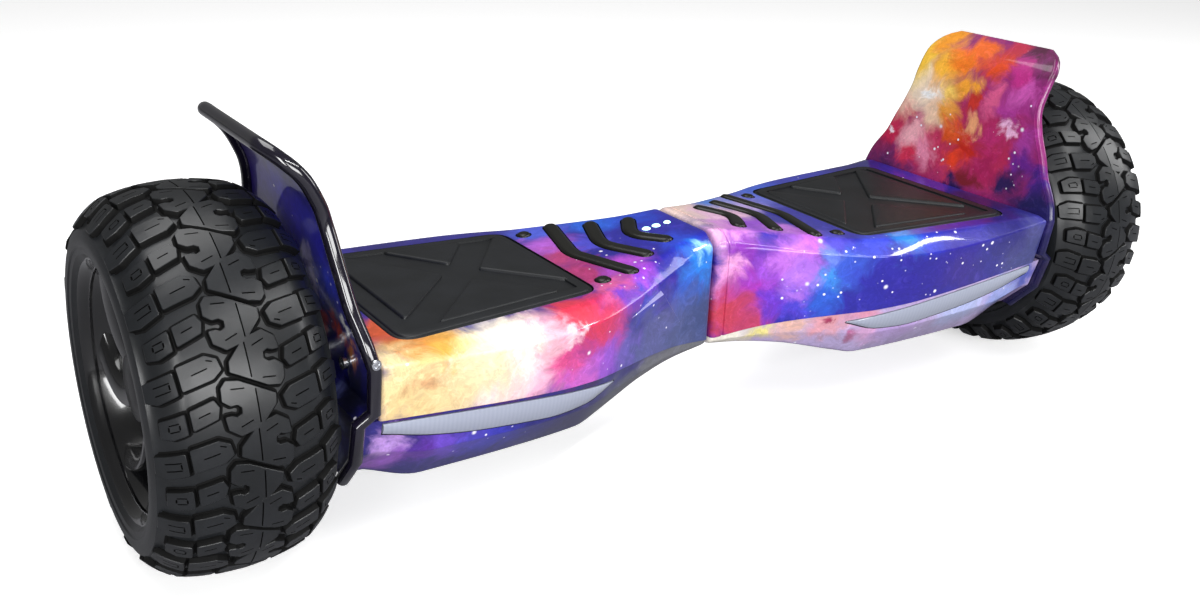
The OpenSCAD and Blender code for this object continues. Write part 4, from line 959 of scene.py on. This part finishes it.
def lower_facet():
    """The raised arrow-head on the left half's front by the seam, which runs out flush at its lower side."""
    outer, peak, inner = Vector((93, 118)), Vector((58, 125)), Vector((27, 90))
    proud, sunk = 3.2, -0.4
    steps = 10
    rows = []
    for i in range(steps + 1):
        row = []
        for j in range(i + 1):
            low = outer.lerp(inner, j / i) if i else peak
            at = peak.lerp(low, i / steps)
            row.append(Vector((at.x, -side_y(at.x, at.y) - mix(proud, sunk, i / steps), at.y)))
        rows.append(row)
    points = [p for row in rows for p in row]
    first = [i * (i + 1) // 2 for i in range(steps + 1)]
    faces = []
    for i in range(steps):
        for j in range(i + 1):
            a, b = first[i] + j, first[i + 1] + j
            faces.append((a, b, b + 1))
            if j < i:
                faces.append((a, b + 1, a + 1))
    lower = list(range(first[-1] + 1, first[-1] + steps + 1))
    rim = first + lower + [first[i] + i for i in range(steps - 1, 0, -1)]
    back = len(points)
    middle = (outer + peak + inner) / 3
    for k in rim:
        at = Vector((points[k].x, points[k].z))
        at += 1.6 * (at - middle).normalized()
        points.append(Vector((at.x, -side_y(at.x, at.y) + 0.6, at.y)))
    n = len(rim)
    faces += [(rim[k], rim[(k + 1) % n], back + (k + 1) % n, back + k) for k in range(n)]
    faces.append(tuple(range(back, back + n)))
    piece = half_object(LEFT, "front_facet", (points, faces), [left_top_print, facet_painted_highlight], sharp=25)
    # the facet's side walls take the pale lilac painted highlight
    for face in piece.data.polygons:
        if len(face.vertices) == 4 and abs(face.normal.y) < 0.93:
            face.material_index = 1
    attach(piece, "left_half")


EDGE_SCREW_HEAD = [(0, 0.05), (0, 3.0), (0.9, 3.0), (1.5, 2.6), (1.7, 1.6), (1.2, 1.2), (1.0, 0.05)]


def edge_screw(side):
    """Small bright screw that pins the fender to the deck at its front edge."""
    points, faces = turned(EDGE_SCREW_HEAD, 24)
    moved = [Vector((BODY_END + 4.5 + p[1], -DECK_HALF - 1.6 - p[0], DECK_Z + 1 + p[2])) for p in points]
    piece = half_object(side, "edge_screw", (moved, faces), [bright_steel])
    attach(piece, f"{SIDES[side]}_half")


FENDER_T, FENDER_SLIP = 3.2, 0.3
FENDER_SCREW_Y, FENDER_SCREW_Z, FENDER_SCREW_HOLE = 54, AXLE_Z + 15, 4.6
# How far the plate leans out and how wide it is, from the deck (0) to its top edge (1)
fender_bow = curve((0, 0), (0.3, 6), (0.56, 9), (0.68, 11.5), (0.76, 15), (0.85, 20.5), (0.92, 27.5),
                   (0.97, 34), (1, 38.5))
fender_half = curve((0, 93), (0.1, 89), (0.25, 78), (0.37, 72), (0.52, 64), (0.66, 59.5), (0.8, 59),
                    (0.88, 58.5), (0.94, 55), (0.98, 49), (1, 43))


def fender_line(samples=44):
    """The plate's line up the body's end and out over the tyre, as (x, z, half depth)."""
    foot, end_z = FLOOR_Z + 12, AXLE_Z - 7
    flare = FENDER_OUT - BODY_END - FENDER_SLIP - FENDER_T
    top = FENDER_TOP - 1.2
    low_x, high_x = LOW_END + FENDER_SLIP, BODY_END + FENDER_SLIP
    line = [(low_x, foot, floor_edge(BODY_END).x + 3), (low_x, mix(foot, end_z, 0.5), chine(BODY_END).x + 1),
            (low_x, end_z + 0.6, parting(BODY_END).x + 1), (high_x, end_z + 6.5, parting(BODY_END).x + 2)]
    for k in range(samples + 1):
        t = k / samples
        out = fender_bow(t) * flare / fender_bow(1)
        line.append((high_x + out, mix(DECK_Z, top, t) - (1 - t) * 3, fender_half(t)))
    return [Vector(p) for p in line]


def fender(side):
    """One curved plate from under the body, up its end and out over the tyre, with a pressed-on edge bead."""
    path = fender_line()
    normals = []
    for i in range(len(path)):
        d = path[min(i + 1, len(path) - 1)] - path[max(i - 1, 0)]
        normals.append(Vector((d.y, 0, -d.x)).normalized())
    across = 28
    spans = [2 * j / across - 1 for j in range(across + 1)]
    inner, outer = [
        [[Vector((p.x, p.z * w, p.y)) + n * layer for w in spans] for p, n in zip(path, normals)]
        for layer in (0, FENDER_T)
    ]
    parts = [band(a, b, closed=False) for rows in (inner, outer) for a, b in zip(rows, rows[1:])]
    rim_in, rim_out = [
        [r[0] for r in rows] + rows[-1][1:] + [r[-1] for r in rows[::-1]][1:] + rows[0][::-1][1:-1]
        for rows in (inner, outer)
    ]
    parts.append(band(rim_in, rim_out))
    lacquer = left_fender_print if side == LEFT else right_fender_print
    plate = half_object(side, "fender_plate", joined(*parts), [lacquer, inner_plastic])
    carve(plate, disc_x(BODY_END - 1, LOW_END + 12, AXLE_HOLE), flip=side == LEFT)
    for y in (-FENDER_SCREW_Y, FENDER_SCREW_Y):
        hole = disc_x(BODY_END - 1, BODY_END + 20, FENDER_SCREW_HOLE, y, FENDER_SCREW_Z, 20)
        carve(plate, hole, flip=side == LEFT)
    place(plate, f"{SIDES[side]}_half", f"{SIDES[side]}_fender_lacquer", f"{SIDES[side]}_fender")
    away = [(b - a).normalized() for a, b in zip(rim_in, rim_out)]
    edge = [b + 0.6 * n for b, n in zip(rim_out, away)][: len(inner) * 2 + across - 1]
    lip, cover = (4.0, bead_black) if side == LEFT else (3.2, lacquer)
    bead = half_object(side, "fender_bead", swept(edge, lip, 16), [cover])
    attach(bead, f"{SIDES[side]}_half")


def swept(path, radius, around):
    """A closed round tube along a path."""
    turns = [2 * math.pi * k / around for k in range(around)]
    rings = []
    for i, p in enumerate(path):
        d = (path[min(i + 1, len(path) - 1)] - path[max(i - 1, 0)]).normalized()
        side = d.cross(Vector((1, 0, 0)))
        side = side.normalized() if side.length > 1e-3 else Vector((0, 1, 0))
        up = side.cross(d).normalized()
        rings.append([p + side * radius * math.cos(a) + up * radius * math.sin(a) for a in turns])
    return lofted(rings)


# ---------------------------------------------------------------- rubber on the deck
# Moulded edges as (inset, height), from the top face down
ROUND_EDGE = [(3.0, 0), (1.6, -0.3), (0.6, -1.1), (0, -2.4)]


FIELD_EDGE = [(1.5, 1.6), (0.9, 1.45), (0.35, 0.9), (0, 0), (0, -0.8)]
CROSS_MIDDLE, CROSS_ARM = Vector((166, 4)), 9.5
CROSS_ENDS = [Vector(p) for p in ((128, 55), (121, -46), (213, -46), (208, 62))]


def foot_pad(side):
    """Rubber pad: a bevelled border round four raised fields that leave a wide sunk cross between them."""
    floor = PAD_TOP - 1.7
    outline = anticlockwise(pad_outline(0))
    parts = [raised(outline, [(1.4, floor - 0.3), (0.4, floor - 0.7), (0, floor - 1.6), (0, PAD_BOT)])]
    flat = 0.9
    border = [(1.0, flat), (0.4, flat - 0.3), (0, 0), (0, -1.0)]
    parts.append(lift(raised(inset(outline, 2.2), border, [inset(outline, 9.5)], flat + 0.6), floor))
    field = anticlockwise(fillet([(114, 50), (228, 63), (228, -63), (114, -50)], 8, closed=True))
    for a, b in zip(CROSS_ENDS, CROSS_ENDS[1:] + CROSS_ENDS[:1]):
        da, db = (a - CROSS_MIDDLE).normalized(), (b - CROSS_MIDDLE).normalized()
        na, nb = Vector((-da.y, da.x)) * CROSS_ARM, Vector((db.y, -db.x)) * CROSS_ARM
        part = clipped(field, CROSS_MIDDLE + na, da)
        part = clipped(part, CROSS_MIDDLE + nb, -db)
        part = fillet(anticlockwise(part), 2.0, closed=True, steps=3)
        parts.append(lift(raised(part, FIELD_EDGE), floor))
    pad = half_object(side, "pad", joined(*parts), [pad_rubber], sharp=50)
    place(pad, f"{SIDES[side]}_pad", "pad_rubber", f"{SIDES[side]}_foot_pad")


def grip_bars(side):
    """Three V-shaped bars and two round studs of rubber, standing out of the crown's slope."""
    edge = ROUND_EDGE + [(0, -3.6)]
    outlines = [stroke(bar_line(tip, half), BAR_W, 8) for tip, half in BARS]
    outlines += [circle(x, y, DOT_D) for x, y in DOTS]
    parts = [lift(raised(outline, edge, spacing=3), 2.0) for outline in outlines]
    bars = half_object(side, "grips", on_ramp(joined(*parts)), [grip_rubber], sharp=50)
    place(bars, f"{SIDES[side]}_half", "grip_rubber", f"{SIDES[side]}_grip_bars")


def lamp_pips():
    """Three small domed lenses in a row on the left half, by the seam."""
    edge = [(1.6, 0), (0.8, -0.2), (0.2, -0.7), (0, -1.4), (0, -5)]
    parts = [lift(raised(circle(x, LAMP_Y, d), edge, spacing=3), 0.8) for x, d in LAMPS]
    pips = mesh_object("lamp_pips", on_ramp(joined(*parts)), [lamp_pip], sharp=60, flip=True)
    place(pips, "left_half", "indicator_lens", "indicator_lenses")


# ---------------------------------------------------------------- wheels
PITCHES = 16
PITCH = 2 * math.pi * TYRE_R / PITCHES
GROOVE = 3.3
crown = curve((0, TYRE_R), (11.6, TYRE_R - 0.6), (22.3, TYRE_R - 2.2), (32, TYRE_R - 4.7), (38.8, TYRE_R - 9),
              (44.1, TYRE_R - 14), (TYRE_HALF, TYRE_R - 19.4))

# Block outlines as (outward, round the tyre); the other side of the tread is the same turned half round
NOTCHED = [(13, -14), (7, -13), (-10, -3.5), (-9.5, 1.5), (-0.5, 11.5), (9, 14), (14.5, 10), (15.5, 3.5),
           (12, 3.4), (9.8, 4.4), (7.4, 3), (7.2, 0), (9.2, -1.8), (12.4, -1.6), (16, -4.5), (15.6, -11)]
LONG = [(33, -25), (20, -28), (14.8, -25.5), (13.4, -19.8), (17.8, -16), (32, -12.6)]
SHORT = [(30.8, -2.6), (19.6, -6), (17.4, -2), (18.6, 3.4), (30.2, 7.6)]
SHOULDER_LONG = [(47, -20), (35.2, -23.2), (34.2, -11.2), (42.5, -7.8), (47, -9.5)]
SHOULDER_SHORT = [(43.5, 1.6), (33.2, -1.6), (32.6, 9), (39, 11.6), (43.5, 10.6)]


def dash(x0, y0, x1, y1):
    """A narrow slot moulded into a block's top."""
    return stroke([(x0, y0), (x1, y1)], 0.7, 3)


TREAD = [
    (NOTCHED, [dash(-0.4, -7.6, -0.7, 9.3), dash(3, 7.2, 8.6, 9.4), dash(5, -9, 11, -9.6)]),
    (LONG, [dash(20, -21.6, 27, -19.8), dash(17, -24.6, 19.4, -25.4)]),
    (SHORT, [dash(22, -0.4, 27, 1.2)]),
    (SHOULDER_LONG, [dash(37, -18.4, 43, -17), dash(36.8, -14.2, 42.6, -12.6), dash(37, -17.4, 36.8, -15.2)]),
    (SHOULDER_SHORT, [dash(36, 2.8, 39.6, 3.6), dash(36, 6.6, 39.4, 7.4), dash(35.6, 3.8, 35.6, 5.8),
                      dash(40, 4.6, 40, 6.6)]),
]


def on_tyre(points, half_turn, start):
    """Bends flat points (outward, round, height) onto the tyre, from `start` millimetres round it."""
    out = []
    for o, s, h in points:
        if half_turn:
            o, s = -o, PITCH / 2 - s
        w = min(abs(o), TYRE_HALF)
        low, high = max(w - 0.5, 0), min(w + 0.5, TYRE_HALF)
        n = Vector(((crown(low) - crown(high)) / (high - low), 1)).normalized()
        u, r = w + h * n.x, crown(w) + h * n.y
        a = (s + start) / TYRE_R
        out.append(Vector((math.copysign(u, o), -r * math.sin(a), r * math.cos(a))))
    return out


def carcass():
    """The tyre under its blocks, as (along, radius): groove floor, ribbed sidewall, bead and inside."""
    tread = []
    for k in range(19):
        w = 46.5 * k / 18
        slope = (crown(w + 0.5) - crown(max(w - 0.5, 0))) / (0.5 + min(w, 0.5))
        n = Vector((-slope, 1)).normalized()
        tread.append((w - GROOVE * n.x, crown(w) - GROOVE * n.y))
    wall = [(46.6, 88), (48, 84.5), (48.3, 81.5), (48.1, 79.2), (47.3, 78.4), (47.4, 77.4), (46.9, 75.2)]
    bead = [(45.4, RIM_R + 1.2), (44.2, RIM_R - 0.2), (38, RIM_R - 1), (36, RIM_R - 4), (30, RIM_R - 4)]
    inner = [(30, RIM_R + 8), (28, TYRE_R - 17), (0, TYRE_R - 12)]
    half = tread + wall + bead + inner
    return half + [(-u, r) for u, r in half[-2:0:-1]]


def shifted(shape, x):
    """Moves a shape drawn about the axle's middle to its place along the axle."""
    points, faces = shape
    return [Vector((p[0] + x, p[1], p[2] + AXLE_Z)) for p in points], faces


# A block's side: a small chamfer, the wall, then a skirt spread out just over the groove floor, which takes
# the painted shade
BLOCK_EDGE = [(0.1, 0), (-0.2, -0.3), (-0.9, 0.3 - GROOVE), (-1.9, 0.08 - GROOVE), (-2.1, -GROOVE - 0.9)]
TREAD_START = 99.5  # millimetres round the tyre to its first block
SLOT_DEPTH = 1.5


def tyre(side):
    """The carcass with its blocks, whose walls, slots and skirts take the near-black painted shade."""
    parts = [turned(carcass(), 128)]
    painted_shade_mask = [0] * len(parts[0][1])
    for outline, slots in TREAD:
        soft = fillet(anticlockwise(outline), 0.7, closed=True, steps=2)
        points, faces = raised(soft, BLOCK_EDGE, slots, SLOT_DEPTH, spacing=4.5)
        # faces below the top's chamfer get the near-black painted shade
        painted_shade_faces = [int(sum(points[i][2] for i in face) / len(face) < -0.3) for face in faces]
        for k in range(PITCHES):
            for half_turn in (False, True):
                parts.append((on_tyre(points, half_turn, TREAD_START + k * PITCH), faces))
                painted_shade_mask += painted_shade_faces
    shape = shifted(joined(*parts), WHEEL_MID)
    made = half_object(side, "tyre_tread", shape, [tyre_rubber, painted_groove_shade], sharp=32)
    made.data.polygons.foreach_set("material_index", painted_shade_mask)
    place(made, f"{SIDES[side]}_wheel", "tyre_rubber", f"{SIDES[side]}_tyre")


SPOKES = 6


WEB = 17.5  # the rim's web, from the wheel's middle


def rim(side):
    """Deep-dished cast rim with swept blades from the hub to the barrel, and the cap in its hub."""
    inner_lip = [(-LIP_U + 2, RIM_R - 5), (-LIP_U, RIM_R - 1.5), (-LIP_U, RIM_R + 1.2),
                 (-LIP_U + 3, RIM_R + 1.4), (-LIP_U + 5, RIM_R - 5)]
    outer_lip = [(LIP_U - 5, RIM_R - 5), (LIP_U - 3, RIM_R + 1.4), (LIP_U + 0.4, RIM_R + 1.2),
                 (LIP_U + 0.6, RIM_R - 0.6), (LIP_U - 0.6, RIM_R - 2.2), (LIP_U - 3, RIM_R - 3),
                 (LIP_U - 5, RIM_R - 4.4)]
    dish = [(WEB + 10, RIM_R - 9), (WEB + 4.5, RIM_R - 11), (WEB + 3, RIM_R - 14), (WEB + 3, 24)]
    hub = [(WEB + 6, 21), (WEB + 8, 14), (WEB + 8, 0.5), (WEB - 2, 0.5)]
    barrel = [(WEB - 2, 56.8), (-LIP_U + 2, 56.8)]
    parts = [turned(inner_lip + outer_lip + dish + hub + barrel)]
    parts += [blade(k * 2 * math.pi / SPOKES) for k in range(SPOKES)]
    casting = half_object(side, "rim_casting", shifted(joined(*parts), WHEEL_MID), [rim_black], sharp=40)
    place(casting, f"{SIDES[side]}_wheel", "rim_black", f"{SIDES[side]}_rim")
    cap_line = [(LIP_U - 15, 0.4), (LIP_U - 15, 19), (LIP_U - 11.5, 19), (LIP_U - 10, 18.2),
                (LIP_U - 9.2, 16), (LIP_U - 9.4, 13.5), (LIP_U - 8.4, 11), (LIP_U - 8, 0.4)]
    cover = half_object(side, "hub_cover", shifted(turned(cap_line, 64), WHEEL_MID), [hub_black], sharp=30)
    place(cover, f"{SIDES[side]}_wheel", "hub_cap_black", f"{SIDES[side]}_hub_cap")


def blade(start, steps=14):
    """One blade of the rim, which grows wider and swings round on its way out."""
    rings = []
    for k in range(steps + 1):
        t = k / steps
        r = mix(15, RIM_R - 7.5, t)
        swing = start + 0.62 * t * t - 0.1
        half = mix(5.5, 8.5, t) / r
        top = mix(LIP_U - 13, LIP_U - 7, t)
        face = [(-1, WEB + 1), (-1, top - 1.6), (-0.82, top - 0.3), (-0.5, top),
                (0.45, top - 2.2), (0.8, top - 3.4), (1, top - 5), (1, WEB + 1)]
        turns = [(u, swing + half * w) for w, u in face]
        rings.append([Vector((u, -r * math.sin(a), r * math.cos(a))) for u, a in turns])
    return lofted(rings)


# ---------------------------------------------------------------- put together
for side in (LEFT, RIGHT):
    top_shell(side)
    bottom_shell(side)
    front_light(side)
    fender(side)
    foot_pad(side)
    grip_bars(side)
    tyre(side)
    rim(side)
edge_screw(LEFT)
lower_facet()
lamp_pips()

FINISH = {
    "frame": cast_aluminium, "axle_clamp": cast_aluminium, "axle": turned_steel, "stator": turned_steel,
    "windings": copper, "clamp_bolts": black_steel, "cover_screws": black_steel, "motor_screws": black_steel,
    "fender_screws": bright_steel, "gyro_board": board_green, "pad_stops": nylon, "pedal_plate": nylon,
    "motor_cable": cable_black, "magnet_ring": turned_steel, "motor_cover": rim_black,
    "wheel_bearings": bright_steel,
}
SINGLES = {
    "pivot_tube": turned_steel, "pivot_bushes": bronze, "pivot_circlip": black_steel,
    "main_board": board_green, "battery_pack": wrap_blue, "charge_socket": bright_steel,
    "charge_pins": gold, "power_switch": switch_black, "power_button": bright_steel,
}
for name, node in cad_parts.items():
    if node.hide_render:
        continue
    finish = SINGLES.get(name) or FINISH.get(name.split("_", 1)[1])
    node.data.materials.clear()
    node.data.materials.append(finish)


# ---------------------------------------------------------------- studio
FLOOR_REACH = 6000


def floor():
    """Paper sweep: bright to the camera, and grey to the reflections so that the lacquer keeps its depth."""
    corners = [Vector((x * FLOOR_REACH, y * FLOOR_REACH, 0)) for x, y in ((-1, -1), (1, -1), (1, 1), (-1, 1))]
    material, tree, surface, where = new_material("sweep_paper", Roughness=0.9)
    fibre = add(tree, "TexNoise", Vector=where, Scale=1 / 3, Detail=3)
    tint = add(tree, "Mix", data_type="RGBA",
               Factor=fibre.outputs["Fac"], I6=srgb("#f2f2f2"), I7=srgb("#fbfbfb"))
    seen = add(tree, "LightPath").outputs["Is Camera Ray"]
    shown = add(tree, "Mix", data_type="RGBA", Factor=seen, I6=srgb("#8c8c90"), I7=tint.outputs[2])
    tree.links.new(shown.outputs[2], surface.inputs["Base Color"])
    glow = add(tree, "MapRange", Value=seen, To_Min=0.0, To_Max=0.55)
    surface.inputs["Emission Color"].default_value = srgb("#ffffff")
    tree.links.new(glow.outputs[0], surface.inputs["Emission Strength"])
    mesh_object("floor", (corners, [(0, 1, 2, 3)]), [material])


def backdrop():
    """White behind the board, and a dim fill on it."""
    world = bpy.data.worlds.new("studio")
    bpy.context.scene.world = world
    world.use_nodes = True
    tree = world.node_tree
    tree.nodes.clear()
    seen = add(tree, "LightPath").outputs["Is Camera Ray"]
    strength = add(tree, "MapRange", Value=seen, To_Min=0.16, To_Max=1.0)
    white = add(tree, "Background", Color=srgb("#ffffff"), Strength=strength.outputs[0])
    add(tree, "OutputWorld", Surface=white.outputs[0])


# name, place, what it aims at (in metres), its width and height, and its power in watts
LIGHTS = [
    ("crease_strip", (0.5, -1.0, 1.6), (0, 0, 0.1), (2.2, 0.05), 15),
    ("top_soft", (-0.4, 0.3, 1.8), (-0.1, 0, 0.1), (1.6, 0.9), 17),
    ("front_soft", (-0.3, -2.2, 0.8), (0, 0, 0.1), (1.8, 0.8), 44),
    ("front_left", (-1.6, -1.5, 0.8), (-0.2, 0, 0.1), (0.35, 1.1), 17),
    ("right_side", (1.7, -0.5, 0.9), (0.2, 0, 0.1), (0.4, 1.0), 8),
]


def lights():
    """Five soft panels; the narrow one overhead draws the long highlight on the covers' creases."""
    for name, at, aim, size, power in LIGHTS:
        panel = bpy.data.lights.new(name, "AREA")
        panel.shape, panel.size, panel.size_y, panel.energy = "RECTANGLE", size[0], size[1], power
        obj = bpy.data.objects.new(name, panel)
        obj.location = at
        obj.rotation_euler = (Vector(aim) - Vector(at)).to_track_quat("-Z", "Y").to_euler()
        bpy.context.scene.collection.objects.link(obj)


def camera():
    """Stands to the left and in front, looks down a little, and leans by its roll."""
    azimuth, elevation, roll = (math.radians(a) for a in (-34.04, 21.63, 2.03))
    level = math.cos(elevation)
    ahead = Vector((-math.sin(azimuth) * level, math.cos(azimuth) * level, -math.sin(elevation)))
    right = ahead.cross(Vector((0, 0, 1))).normalized()
    up = right.cross(ahead)
    right, up = math.cos(roll) * right + math.sin(roll) * up, math.cos(roll) * up - math.sin(roll) * right
    lens = bpy.data.cameras.new("camera")
    lens.lens, lens.sensor_width = 37.89, 36
    made = bpy.data.objects.new("camera", lens)
    turn = Matrix((right, up, -ahead)).transposed().to_4x4()
    made.matrix_world = Matrix.Translation((-0.5, -0.643, 0.4088)) @ turn
    bpy.context.scene.collection.objects.link(made)
    bpy.context.scene.camera = made


floor()
backdrop()
lights()
camera()
bpy.context.scene.view_settings.view_transform = "Standard"
